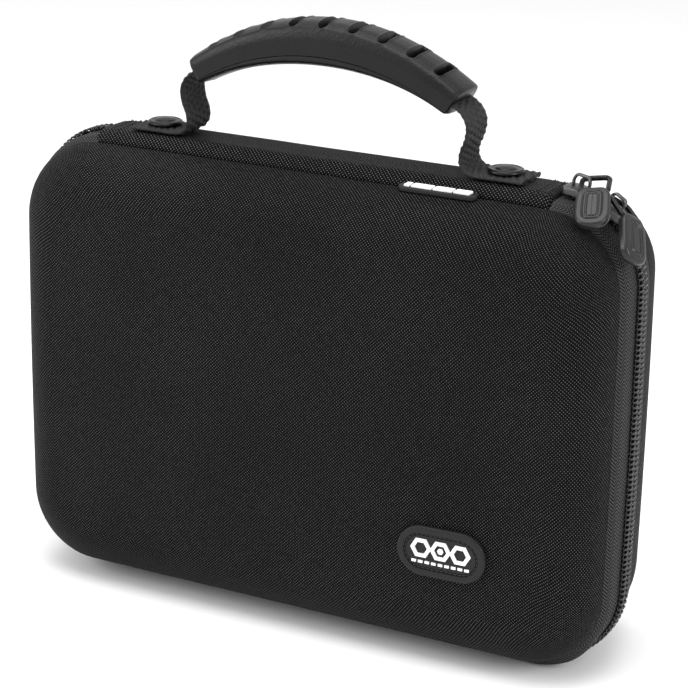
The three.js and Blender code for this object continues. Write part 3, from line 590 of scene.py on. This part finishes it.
def zip_coil(side, half, body):
    """A flattened spiral of nylon wire; its turns stand half a pitch off the other half's."""
    turns = int((ZIP_S[-1] - 4.5) / PITCH)
    steps = 12
    phase = np.linspace(0, 2 * np.pi * turns, turns * steps + 1)
    local = phase % (2 * np.pi)
    lower = np.clip((local - np.pi) / np.pi, 0, 1)
    turn = np.floor(phase / (2 * np.pi) + 1e-9)
    s = COIL_START + PITCH * (turn + lower + (0.5 if side > 0 else 0))
    c, d = np.cos(local), np.sin(local)
    y = 1.95 - 1.6 * np.sign(c) * np.abs(c) ** 0.75
    out = COIL_OUT + 0.62 * np.sign(d) * np.abs(d) ** 0.6
    path = on_zip(s, side * y, out)
    thick = 0.43 + 0.1 * np.exp(-((y - 0.4) / 0.5) ** 2)
    verts, faces, corners = tube_parts(path, thick, sides=6, up=(0.13, 1.0, 0.21))
    piece = make(half + "_coil_spiral", verts, faces, COIL, corners, 60)
    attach(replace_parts(piece, half + "_zip_coil"), body)


def stitches(name, places, directions, normals, body, length, radius=0.22):
    """Short raised stitches at places, each a little arch of thread."""
    parts = []
    for p, d, n in zip(places, directions, normals):
        t = np.linspace(-0.5, 0.5, 5)[:, None]
        arch = p + d * t * length + n * radius * (1 - (2 * t) ** 2 * 1.6)
        parts.append(tube_parts(arch, radius, 6, up=np.cross(d, n)))
    piece = gathered(name, parts, THREAD)
    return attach(piece, body)


zip_tape(-1, "front", "lid")
zip_tape(1, "back", "base")
zip_coil(-1, "front", "lid")
zip_coil(1, "back", "base")


def binding(side, half, body):
    """Grosgrain ribbon over the sewn edge, seen when the case is open."""
    p, out = outline(0)
    section = rounded([(13.2, -5.5), (13.2, -4.2), (12.0, -4.2), (12.0, -5.5)], 0.3, 2)
    rings = []
    for (x, z), (nx, nz) in zip(p, out):
        rings.append([(x + nx * o, side * y, z + nz * o + MIDDLE_Z) for y, o in section])
    piece = grid(half + "_binding_ribbon", rings, TAPE, closed=True)
    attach(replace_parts(piece, half + "_seam_binding"), body)


binding(-1, "front", "lid")
binding(1, "back", "base")

# ------------------------------------------------------------------ spine

SPINE_HALF = 99.0
SPINE_TOP = 194.6
SPINE_EDGE = 13.5  # from the spine's middle to each shell
STITCH_ROWS = (93.0, 97.0)


def spine_section(t):
    """Half of the spine's crown at a share t of its width: distance from the middle, and height."""
    y = SPINE_EDGE * t
    return y, SPINE_TOP - 0.35 * t**2 - 4.5 * np.clip((t - 0.55) / 0.45, 0, 1) ** 2.4


def spine_half(side, name):
    """Cloth from the middle of the spine to one shell's sewn edge."""
    xs = np.concatenate([np.linspace(-SPINE_HALF - 3.2, -SPINE_HALF - 2, 4),
                         np.linspace(-SPINE_HALF - 1.5, SPINE_HALF, 90),
                         [SPINE_HALF + 0.3, SPINE_HALF + 0.6]])
    bends = [-SPINE_HALF - 3.2, -SPINE_HALF - 2, -97, -90, 90, 97, SPINE_HALF, SPINE_HALF + 0.6]
    drop = np.interp(xs, bends, [2.2, 0.9, 0.35, 0, 0, 0.35, 0.9, 2.4])
    ts = np.linspace(0, 1, 18)
    rows = []
    for x, d in zip(xs, drop):
        sag = 0.25 * math.cos(x / 17.0) + 0.15 * math.cos(x / 7.3 + 1)
        top = []
        for t in ts:
            y, z = spine_section(t)
            top.append((x, side * y, z - d - 0.2 * sag * math.sin(math.pi * t)))
        low = [(x, y * 0.97, z - 1.0) for _, y, z in reversed(top)]
        rows.append(top + low)
    piece = grid(name, rows, SPINE_CLOTH, sharp=60)
    at(0, side * 9.5, SPINE_TOP)
    at(0, side * 13.4, SPINE_TOP)
    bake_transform(piece)
    return piece


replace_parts(spine_half(-1, "spine_cloth_front"), "spine_panel")
spine_half(1, "spine_cloth_back")


def spine_end_stitches():
    """Two rows of lockstitch across each folded end of the spine."""
    places, along, up = [], [], []
    for end in (-1, 1):
        for row in STITCH_ROWS:
            for y in np.arange(-10.4, 10.5, 2.6):
                z = spine_section(abs(y) / SPINE_EDGE)[1] - (0.1 if row == STITCH_ROWS[0] else 0.3)
                places.append(np.array([end * row, y, z]))
                along.append(np.array([0.0, 1.0, 0.0]))
                up.append(np.array([0.0, 0.0, 1.0]))
    stitches("spine_end_stitching", places, along, up, "spine", 1.7)


spine_end_stitches()

# ------------------------------------------------------------------ webbing and rivets

WEB_THICK = 2.0
CORDS = 6
PLAIT = 2.7  # length of one twist of a cord
WEB_STEP = 0.35


def cord_height(across, along):
    """Half the webbing's thickness at shares of its half width, at a distance along it."""
    turn = (across * 0.5 + 0.5) * CORDS
    arch = np.abs(np.sin(np.pi * turn)) ** 0.7
    beat = 0.5 + 0.5 * np.cos(2 * np.pi * along / PLAIT + np.pi * np.floor(turn - 1e-9))
    return WEB_THICK / 2 * (0.45 + 0.75 * arch * (0.2 + 0.8 * beat)) * (1 - 0.35 * np.abs(across) ** 8)


def ribbon_parts(path, half):
    """Webbing along a path in the x-z plane: heavy cords side by side, each twisted along."""
    path = np.asarray(path, float)
    length = np.linalg.norm(np.diff(path, axis=0), axis=1).sum()
    p = evenly(path, int(length / WEB_STEP))
    d = np.gradient(p, axis=0)
    d /= np.linalg.norm(d, axis=1, keepdims=True)
    n = np.stack([-d[:, 1], d[:, 0]], axis=1)
    s = np.linspace(0, length, len(p))
    w = np.interp(s, np.linspace(0, length, len(half)), half)
    across = np.linspace(-1, 1, CORDS * 7 + 1)
    rings = []
    for (x, z), (nx, nz), along, wide in zip(p, n, s, w):
        h = cord_height(across, along)
        top = np.stack([x + nx * h, across * wide, z + nz * h], axis=1)
        low = np.stack([x - nx * h, across * wide, z - nz * h], axis=1)
        rings.append(np.concatenate([top, low[::-1]]))
    return grid_parts(rings)


GRIP_R = 107.0  # of the strap's arc inside the grip
GRIP_Z = 131.6  # height of that arc's centre
GRIP_END = math.radians(32)
FOOT_Z = 195.95
LEG_X = 61


def grip_point(angle, y=0.0, height=0.0):
    """A place on the grip's arc, or that far above it."""
    r = GRIP_R + height
    return np.array([r * math.sin(angle), y, GRIP_Z + r * math.cos(angle)])


def webbing_legs():
    """Each leg from the grip's end down to its foot on the spine, and the strap in the grip."""
    for side, name in ((-1, "left"), (1, "right")):
        path = spline([(52.5, 224.9), (56.9, 222.2), (60.9, 219.1), (63.0, 214.6), (62.4, 209.2),
                       (60.6, 204.4), (60.5, 200.0), (63.0, 196.8), (67.5, FOOT_Z), (73, FOOT_Z),
                       (80, FOOT_Z), (86.5, FOOT_Z - 0.1)], 140)
        path[:, 0] *= side
        half = [9.2, 9.4, 9.4, 9.2, 9.0, 9.0, 9.2, 9.5, 9.5, 9.5, 9.5]
        piece = gathered("webbing_leg_" + name, [ribbon_parts(path, half)], WEBBING, 70)
        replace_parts(piece, "webbing_foot_" + name)
        if side < 0:
            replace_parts(piece, "handle_strap")
        at(side * LEG_X, 0, 197.5)
        at(side * LEG_X, 0, 206.5)
        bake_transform(piece)
    core = [grip_point(a)[[0, 2]] for a in np.linspace(-GRIP_END * 0.9, GRIP_END * 0.9, 60)]
    piece = gathered("webbing_core", [ribbon_parts(core, [9.0, 9.0])], WEBBING, 70)
    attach(piece, "handle")


webbing_legs()


RIVET_R = 7.3
RIVET_X = 76.0


def rivets():
    """Round caps with a rolled rim, a dished ring and a low dome."""
    z = SPINE_TOP + 2.6
    r = RIVET_R
    profile = rounded([(0, 0), (r - 0.3, 0), (r, 0.6), (r - 0.35, 1.35), (r - 1.3, 1.75), (r - 2.0, 1.45),
                       (r - 2.7, 1.5), (r - 3.6, 2.1), (r - 5.6, 2.5), (0, 2.6)], 0.35, 4)
    for side, name in ((-1, "left"), (1, "right")):
        verts, faces, corners = lathe_parts(profile)
        piece = make("rivet_dome_" + name, verts + [side * RIVET_X, 0, z], faces, METAL, corners, 50)
        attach(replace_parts(piece, "rivet_cap_" + name), "spine")


rivets()

# ------------------------------------------------------------------ grip

PARTING = -3.6  # where the two mouldings meet, from the strap's arc
SLOTS = 9
SLOT_STEP = math.radians(6.45)
SLOT_LONG = 18.6
SLOT_WIDE = 3.7
GRIP_TOP_R = GRIP_R + 8
END_ROUND = 1.8
END_SHRINK = 0.11


def fullness(angle):
    """Share of its full height that the grip has, full in the middle and slim at its ends."""
    return 0.67 + 0.33 * np.cos(np.clip(angle / GRIP_END, -1, 1) * np.pi / 2) ** 1.2


def capsule(along, y, length, width):
    """Signed distance to a slot that runs across the grip."""
    straight = (length - width) / 2
    return np.hypot(along, np.maximum(np.abs(y) - straight, 0)) - width / 2


def slot_relief(angle, y):
    """Depth of the slots and height of their lips, at places on the grip's top."""
    depth, lip = np.zeros_like(y), np.zeros_like(y)
    for k in range(SLOTS):
        place = k - (SLOTS - 1) / 2
        length = SLOT_LONG - 0.3 * abs(place) ** 1.4
        d = capsule(GRIP_TOP_R * (angle - place * SLOT_STEP), y, length, SLOT_WIDE)
        depth = np.maximum(depth, smoothstep(-d / 0.45))
        lip = np.maximum(lip, 0.32 * np.exp(-((d - 0.45) / 0.32) ** 2))
    return depth, lip


def grip_angles(count):
    return np.linspace(-GRIP_END, GRIP_END, count)


def end_rounding(angle):
    """Share of its size that the section keeps over the last millimetres of the grip."""
    left = (GRIP_END - abs(angle)) * GRIP_R
    t = min(max(1 - left / END_ROUND, 0), 1)
    return 1 - END_SHRINK * (1 - math.sqrt(1 - t * t))


def grip_upper():
    """Upper moulding with its slots, their lips and a ridge along each shoulder."""
    half = spline([(0, 9.7), (4.6, 9.35), (8.0, 8.15), (10.0, 6.3), (10.9, 3.4), (11.0, 0.2),
                   (11.0, PARTING)], 60)
    outer = np.concatenate([half[::-1] * [-1, 1], half[1:]])
    rings = []
    for angle in grip_angles(330):
        f, shrink = fullness(angle), end_rounding(angle)
        y = outer[:, 0] * shrink
        h = np.where(outer[:, 1] > 0, outer[:, 1] * f, outer[:, 1]) * shrink
        depth, lip = slot_relief(angle, y)
        on_top = outer[:, 1] > 4
        h = np.where(on_top, h + lip - depth * np.maximum(h - 0.3, 0), h)
        ridge = np.exp(-((np.abs(outer[:, 0]) - 9.4) / 0.8) ** 2) * (outer[:, 1] > 5) * 0.25
        rings.append([grip_point(angle, a, b) for a, b in zip(y, h + ridge)])
    piece = grid("grip_top_moulding", rings, GRIP, sharp=70)
    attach(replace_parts(piece, "grip_upper"), "handle")


def grip_lower():
    """Plain lower moulding, rounded to fit the fingers."""
    rings = []
    for angle in grip_angles(120):
        f, shrink = fullness(angle), end_rounding(angle)
        half = rounded([(0, PARTING - 0.05), (10.95, PARTING - 0.05), (10.5, -5.6 * f - 0.6), (7.6, -7.9 * f),
                        (0, -8.6 * f)], 1.6, 6)
        section = np.concatenate([half, half[-2:0:-1] * [-1, 1]]) * shrink
        rings.append([grip_point(angle, a, b) for a, b in section])
    piece = grid("grip_under_moulding", rings, GRIP, sharp=70)
    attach(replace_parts(piece, "grip_lower"), "handle")


grip_upper()
grip_lower()

# ------------------------------------------------------------------ badges


def stadium(length, height, inset=0.0, count=96):
    """Outline with two straight sides and two round ends, brought in by inset."""
    r = height / 2 - inset
    straight = length / 2 - height / 2
    a = np.linspace(-np.pi / 2, np.pi / 2, count // 2)
    right = np.stack([straight + r * np.cos(a), r * np.sin(a)], axis=1)
    return np.concatenate([right, -right])


def slab(outline_at, levels, place):
    """A rounded plate from its outline at successive (inset, height) levels, placed by place()."""
    rings = [[(x, y, h) for x, y in outline_at(i)] for i, h in levels]
    verts, faces, corners = grid_parts(rings)
    return place(verts), faces, corners


def frame_of(origin, right, up):
    """Places local (x, y, z) points on a plane with these directions."""
    right = unit(right)
    up = unit(np.asarray(up, float) - right * (up @ right))
    basis = np.stack([right, up, np.cross(right, up)])
    return lambda v: np.asarray(v, float) @ basis + np.asarray(origin, float)


LEAN = 0.02  # of the front face under the badge
BADGE = frame_of((71.8, -37.6, 52.3), (1, LEAN + 0.005, 0), (0, -LEAN, 1))
BADGE_L = 37.4
BADGE_H = 21.0
PANEL_Z = 1.4  # height of the badge's sunk panel over its back
TILE_Y = 1.4
TILE_STEP = 8.3
BAR_STEP = 2.8
BAR_HALF = 0.95


def hexagon(cx, cy, r):
    a = np.arange(6) * np.pi / 3
    return np.stack([cx + r * np.cos(a), cy + r * np.sin(a)], axis=1)


def outline_ring_parts(outer, inner, z0, z1, place):
    """A flat frame between two outlines of as many points, slightly rounded on top."""
    edge = 0.18
    eased = 0.14
    shoulder = outer * (1 - eased) + inner * eased
    rim = outer * eased + inner * (1 - eased)
    levels = [(outer, z0), (outer, z1 - edge), (shoulder, z1), (rim, z1), (inner, z1 - edge), (inner, z0)]
    rings = [[(*p, z) for p in points] for points, z in levels]
    v, f, c = grid_parts(rings, closed=True)
    return place(v), f, c


def block_parts(points, z0, z1, place):
    """A low block on an outline, slightly narrower on top."""
    points = np.asarray(points, float)
    mid = points.mean(0)
    rings = [[(*p, z0) for p in points], [(*p, z1 - 0.15) for p in points],
             [(*(p + (mid - p) * 0.12), z1) for p in points]]
    v, f, c = grid_parts(rings)
    return place(v), f, c


def front_badge():
    """Rubber plate with a raised rim and a stitched groove round a sunk panel."""
    levels = [(0, 0), (0, 1.0), (0.15, 1.5), (0.5, 1.78), (1.0, 1.85), (2.5, 1.85), (2.9, 1.7), (3.05, 1.0),
              (3.7, 0.95), (3.85, 1.25), (4.0, 1.45), (6.0, 1.45), (10.4, 1.45)]
    parts = [slab(lambda i: stadium(BADGE_L, BADGE_H, i), levels, BADGE)]
    piece = gathered("front_badge_plate", parts, RUBBER, 50)
    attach(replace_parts(piece, "front_badge"), "lid")
    track = evenly(stadium(BADGE_L, BADGE_H, 3.4, 400), 40, closed=True)
    local = np.concatenate([track, np.full((len(track), 1), 1.15)], axis=1)
    spots = BADGE(local)
    along = BADGE(np.roll(local, -1, 0)) - BADGE(np.roll(local, 1, 0))
    along /= np.linalg.norm(along, axis=1, keepdims=True)
    normals = [BADGE([(0, 0, 1)])[0] - BADGE([(0, 0, 0)])[0]] * len(spots)
    thread = stitches("front_badge_stitching", spots, along, normals, "lid", 1.6, 0.26)


def front_badge_marks():
    """Three hexagonal tiles, the middle one with a small one inside, over a row of bars."""
    marks = []
    for cx in (-TILE_STEP, 0.0, TILE_STEP):
        outer, inner = hexagon(cx, TILE_Y, 4.4), hexagon(cx, TILE_Y, 2.7)
        marks.append(outline_ring_parts(outer, inner, PANEL_Z, 2.2, BADGE))
    marks.append(block_parts(hexagon(0, TILE_Y, 1.3), PANEL_Z, 2.1, BADGE))
    for x in np.arange(-11.2, 11.3, BAR_STEP):
        left, right = x - BAR_HALF, x + BAR_HALF
        bar = [(left, -4.9), (right, -4.9), (right, -3.9), (left, -3.9)]
        marks.append(block_parts(bar, PANEL_Z, 2.05, BADGE))
    piece = gathered("front_badge_marks", marks, WHITE, 30)
    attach(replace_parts(piece, "front_badge_mark"), "lid")


TOP_BADGE = frame_of((55.5, -17.0, TOP + 0.8), (1, 0, 0), (0, 1, 0.141))


def top_badge():
    """Narrow rubber plate on the top edge with four slanted bars."""
    levels = [(0, 0), (0, 1.0), (0.15, 1.45), (0.45, 1.6), (1.2, 1.6), (2.6, 1.6)]
    parts = [slab(lambda i: stadium(33.0, 5.4, i), levels, TOP_BADGE)]
    piece = gathered("top_badge_plate", parts, RUBBER, 50)
    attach(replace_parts(piece, "top_badge"), "lid")
    marks = []
    for x0, x1 in ((-13.6, -11.4), (-10.6, -2.2), (-1.4, 6.4), (7.2, 13.6)):
        bar = [(x0, -1.5), (x1, -1.5), (x1 + 0.5, 1.5), (x0 + 0.5, 1.5)]
        marks.append(block_parts(bar, 1.5, 2.4, TOP_BADGE))
    piece = gathered("top_badge_marks", marks, WHITE, 30)
    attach(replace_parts(piece, "top_badge_mark"), "lid")


front_badge()
front_badge_marks()
top_badge()

# ------------------------------------------------------------------ sliders, rings and tags

SLIDER_IN = CORNER + 4.9 + 0.6  # the top plate's two faces, from the corner's centre
SLIDER_OUT = SLIDER_IN + 1.5
CROWN_TOP = SLIDER_OUT + 5.3
CROWN_WALL = 1.2
SLIDER_SPAN = math.radians(9.3)
CROWN_REACH = math.radians(4.8)


def on_arc(angle, radius, y):
    """A place about the centre of the case's top right corner."""
    return np.array([ARC_X + radius * math.cos(angle), y, ARC_Z + radius * math.sin(angle)])


def slider(angle, name):
    """Waisted top plate with rolled rims, side flanges on the lid's side, and an arched crown."""
    rings = []
    for t in np.linspace(-1, 1, 25):
        a = angle + SLIDER_SPAN * t
        half = 5.0 - 0.9 * smoothstep((0.2 - t) / 1.2) - 2.2 * max(abs(t) - 0.82, 0) / 0.18 * 0.5
        tip = 0.35 * max(abs(t) - 0.8, 0) / 0.2
        face, crest = SLIDER_IN + tip, SLIDER_OUT + 0.15 - tip
        section = rounded([(-half, SLIDER_IN - 1.1), (-half + 0.7, SLIDER_IN - 1.1), (-half + 0.8, face),
                           (half - 0.6, face), (half, SLIDER_IN + 0.4), (half - 0.2, SLIDER_OUT - 0.2),
                           (1.6, crest), (-1.6, crest), (-half + 0.2, SLIDER_OUT - 0.2),
                           (-half - 0.05, SLIDER_IN + 0.2)], 0.25, 2)
        rings.append([on_arc(a, r, y) for y, r in section])
    parts = [grid_parts(rings)]
    rise = [(CROWN_REACH, SLIDER_OUT - 0.2), (CROWN_REACH * 0.97, CROWN_TOP - 2.6),
            (CROWN_REACH * 0.6, CROWN_TOP - 0.7)]
    arch = spline([(-a, r) for a, r in rise] + [(0, CROWN_TOP - 0.55)] + rise[::-1], 30)
    path = [on_arc(angle + a, r, 0) for a, r in arch]
    parts.append(tube_parts(path, 0.62, 10, up=(0, 1, 0), squash=1.75))
    piece = gathered(name, parts, STEEL, 50)
    return piece


RING_WIDE = 10.4
RING_LONG = 11.4
WIRE = 0.9
FRONT_CORNER = 1.8  # the ring's corners by the tag, and by the slider
BACK_CORNER = 2.4


def puller(angle, radius, hold, forward, across, hang):
    """Crown point, where the ring is held there, and the ring's and tag's directions."""
    ahead = unit(forward)
    side = unit(np.asarray(across) - ahead * np.dot(across, ahead))
    down = unit(np.asarray(hang) - side * np.dot(hang, side))
    return on_arc(math.radians(angle), radius, 0), hold, ahead, side, down


def on_ring(p, u, v):
    """A place in the ring's plane, from its corner by the slider: u across it and v along it."""
    crown, hold, ahead, side, _ = p
    return crown + side * (u - hold[0]) + ahead * (v - hold[1])


def ring(p, name):
    """Rounded loop of wire with its straight bar in the tag."""
    f, b = FRONT_CORNER, BACK_CORNER
    rounds = [(RING_WIDE - f, RING_LONG - f, f), (f, RING_LONG - f, f), (b, b, b), (RING_WIDE - b, b, b)]
    flat = []
    for quarter, (u, v, r) in enumerate(rounds):
        for a in (quarter + np.linspace(0, 1, 9)) * np.pi / 2:
            flat.append((u + r * math.cos(a), v + r * math.sin(a)))
    path = evenly(np.array([on_ring(p, u, v) for u, v in flat]), 96, closed=True)
    parts = [tube_parts(path, WIRE * 1.15, 12, closed=True, up=np.cross(p[3], p[2]))]
    return gathered(name, parts, METAL, 60)


TAG_HALF = 1.85
TAG_CORE = (-12.8, -4.0)  # ends of the tag's middle line
TAG_GROOVES = (2.9, 4.4)  # how far in from the tag's edge


def tag(p, name):
    """Rubber tag with rounded shoulders, a full belly and two pressed grooves."""
    side, down = p[3:]
    place = frame_of(on_ring(p, RING_WIDE / 2, RING_LONG), side, -down)
    half = [(3.4, 1.35), (5.0, 0.3), (6.2, -1.6), (6.5, -4.0), (6.65, -8.0), (6.6, -12.0), (6.1, -14.6),
            (4.7, -16.7), (2.4, -17.8)]
    mirrored = [(-x, y) for x, y in reversed(half)]
    shape = spline(half + [(0, -18.05)] + mirrored + [(0, 1.4)], 140, closed=True)
    core = np.column_stack([np.zeros(len(shape)), np.clip(shape[:, 1], *TAG_CORE)])

    def level(i, height):
        """The tag's outline brought in by i towards its middle line, at one height."""
        r = np.linalg.norm(shape - core, axis=1, keepdims=True)
        points = core + (shape - core) * np.clip(1 - i / r, 0.02, 1)
        return [(x, y, height) for x, y in points]

    rings = [level(i, -TAG_HALF) for i in (7.2, 5, 2.5)]
    for a in np.linspace(np.pi / 2, 0, 5):
        rings.append(level(0.9 * (1 - math.cos(a)), -TAG_HALF + 0.9 - 0.9 * math.sin(a)))
    for a in np.linspace(0, np.pi / 2, 6):
        rings.append(level(1.3 * (1 - math.cos(a)), TAG_HALF - 1.3 + 1.1 * math.sin(a)))
    for i in np.concatenate([[1.7, 2.0], np.arange(2.3, 7.1, 0.22)]):
        belly = 0.2 * float(smoothstep((i - 1.3) / 2))
        groove = -0.4 * float(sum(smoothstep(1 - abs(i - c) / 0.5) for c in TAG_GROOVES))
        rings.append(level(i, TAG_HALF - 0.2 + belly + groove))
    verts, faces, corners = grid_parts(rings)
    piece = gathered(name, [(place(verts), faces, corners)], TAG_RUBBER, 60)
    return piece


HOLE_IN = SLIDER_OUT + 0.5
HOLE_OUT = CROWN_TOP - CROWN_WALL
# Each puller: its angle on the corner, its hold's radius and place on the ring, and its three directions.
PULLERS = {
    "upper": (79.5, (HOLE_IN + HOLE_OUT) / 2, (0, BACK_CORNER),
              (0.28, -0.93, -0.22), (0.955, 0.27, 0.12), (0.27, -0.82, -0.51)),
    "corner": (56.5, HOLE_OUT - WIRE - 0.6, (RING_WIDE / 2, 0),
               (0.72, -0.58, -0.4), (0.3, 0.83, -0.44), (0.31, -0.6, -0.73)),
}
for key, setting in PULLERS.items():
    p = puller(*setting)
    body = slider(math.radians(setting[0]), "slider_body_" + key)
    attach(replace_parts(body, "zip_slider_" + key), "slider_" + key)
    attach(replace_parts(ring(p, "d_ring_" + key), "pull_ring_" + key), "ring_" + key)
    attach(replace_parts(tag(p, "rubber_tag_" + key), "pull_tag_" + key), "tag_" + key)

# ------------------------------------------------------------------ inside


def soft_copy(node, body):
    """A foam block cut like its CAD solid, with eased edges."""
    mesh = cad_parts[node].data.copy()
    obj = bpy.data.objects.new(node + "_block", mesh)
    bpy.context.collection.objects.link(obj)
    mesh.materials.clear()
    bevel = obj.modifiers.new("eased", "BEVEL")
    bevel.width = 0.0016
    bevel.segments = 3
    bevel.limit_method = "ANGLE"
    bevel.angle_limit = math.radians(35)
    bpy.context.view_layer.update()
    made = bpy.data.meshes.new_from_object(obj.evaluated_get(bpy.context.evaluated_depsgraph_get()))
    obj.modifiers.clear()
    obj.data = made
    made.materials.append(FOAM)
    made.polygons.foreach_set("use_smooth", [True] * len(made.polygons))
    made.set_sharp_from_angle(angle=math.radians(50))
    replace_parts(obj, node)
    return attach(obj, body)


soft_copy("foam_tray", "base")
soft_copy("foam_base_pad", "base")


PAD_BORDER = 10.2
PAD_PITCH = 20  # of the foam's peaks
PAD_RELIEF = 6.0


def lid_pad():
    """Convoluted foam that presses on the tray: a field of soft peaks inside a plain border."""
    lo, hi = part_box("foam_lid_pad")
    deep = (lo.y - SHIFT[1]) * 1000
    face = (hi.y - SHIFT[1]) * 1000
    levels = [(14.2, deep), (9.6, deep + 3.5), (8.8, face - 1.2), (9.2, face - 0.4), (10.0, face)]
    rings = [at_depth(outline(inset)[0], y) for inset, y in levels]
    p, _ = outline(PAD_BORDER)
    for k in np.linspace(1, 0.02, 60):
        x, z = (p * k).T
        inside = smoothstep((1 - k) / 0.08)
        wave = 0.5 - 0.5 * np.cos(x * 2 * np.pi / PAD_PITCH) * np.cos(z * 2 * np.pi / PAD_PITCH)
        rings.append(np.stack([x, face - PAD_RELIEF * inside * wave, z + MIDDLE_Z], axis=1))
    piece = grid("lid_pad_foam", np.array(rings), FOAM, sharp=60)
    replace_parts(piece, "foam_lid_pad")
    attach(piece, "lid")


lid_pad()

for node, look in (("handle_backing_plate", BOARD), ("rivet_post_left", METAL), ("rivet_post_right", METAL)):
    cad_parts[node].data.materials.clear()
    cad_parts[node].data.materials.append(look)

# ------------------------------------------------------------------ floor, light and camera


def floor():
    """A pale sheet of paper, six metres across."""
    mesh = bpy.data.meshes.new("floor")
    w = 3.0
    mesh.from_pydata([(-w, -w, 0), (w, -w, 0), (w, w, 0), (-w, w, 0)], [], [(0, 1, 2, 3)])
    obj = bpy.data.objects.new("floor", mesh)
    bpy.context.collection.objects.link(obj)
    g = Graph("floor_paper")
    mesh.materials.append(g.finish((0.92, 0.92, 0.92, 1), 0.9))


def area(name, place, target, size, power):
    """A square softbox that faces its target."""
    light = bpy.data.lights.new(name, "AREA")
    light.size = size
    light.energy = power
    obj = bpy.data.objects.new(name, light)
    obj.location = place
    obj.rotation_euler = (Vector(target) - Vector(place)).to_track_quat("-Z", "Y").to_euler()
    bpy.context.collection.objects.link(obj)


def studio():
    """White surroundings and three softboxes."""
    world = bpy.data.worlds.new("studio")
    world.use_nodes = True
    world.node_tree.nodes["Background"].inputs[0].default_value = (1, 1, 1, 1)
    world.node_tree.nodes["Background"].inputs[1].default_value = 0.9
    bpy.context.scene.world = world
    area("top_softbox", (0.0, -0.15, 1.1), (0, 0, 0.1), 0.9, 9)
    area("left_softbox", (-0.9, -0.8, 0.7), (0, 0, 0.12), 0.7, 7)
    area("right_softbox", (1.1, -0.2, 0.6), (0, 0, 0.12), 0.5, 6)


AZIMUTH = math.radians(27.09)
ELEVATION = math.radians(18.63)
ROLL = math.radians(1.12)
CAMERA = (415.37, -796.34, 417.79)
LENS = 121.98


def camera():
    """A long lens in front of the case, a little to its right and above it."""
    back = Vector((math.sin(AZIMUTH) * math.cos(ELEVATION), -math.cos(AZIMUTH) * math.cos(ELEVATION),
                   math.sin(ELEVATION)))
    right = Vector((math.cos(AZIMUTH), math.sin(AZIMUTH), 0))
    up = back.cross(right)
    level_right, level_up = right, up
    right = level_right * math.cos(ROLL) + level_up * math.sin(ROLL)
    up = level_up * math.cos(ROLL) - level_right * math.sin(ROLL)
    data = bpy.data.cameras.new("camera")
    data.lens = LENS
    data.sensor_width = 36
    data.clip_end = 20
    obj = bpy.data.objects.new("camera", data)
    turn = Matrix((right, up, back)).transposed().to_4x4()
    obj.matrix_world = Matrix.Translation(at(*CAMERA)) @ turn
    bpy.context.collection.objects.link(obj)
    bpy.context.scene.camera = obj


floor()
studio()
camera()
bpy.context.scene.view_settings.view_transform = "Standard"
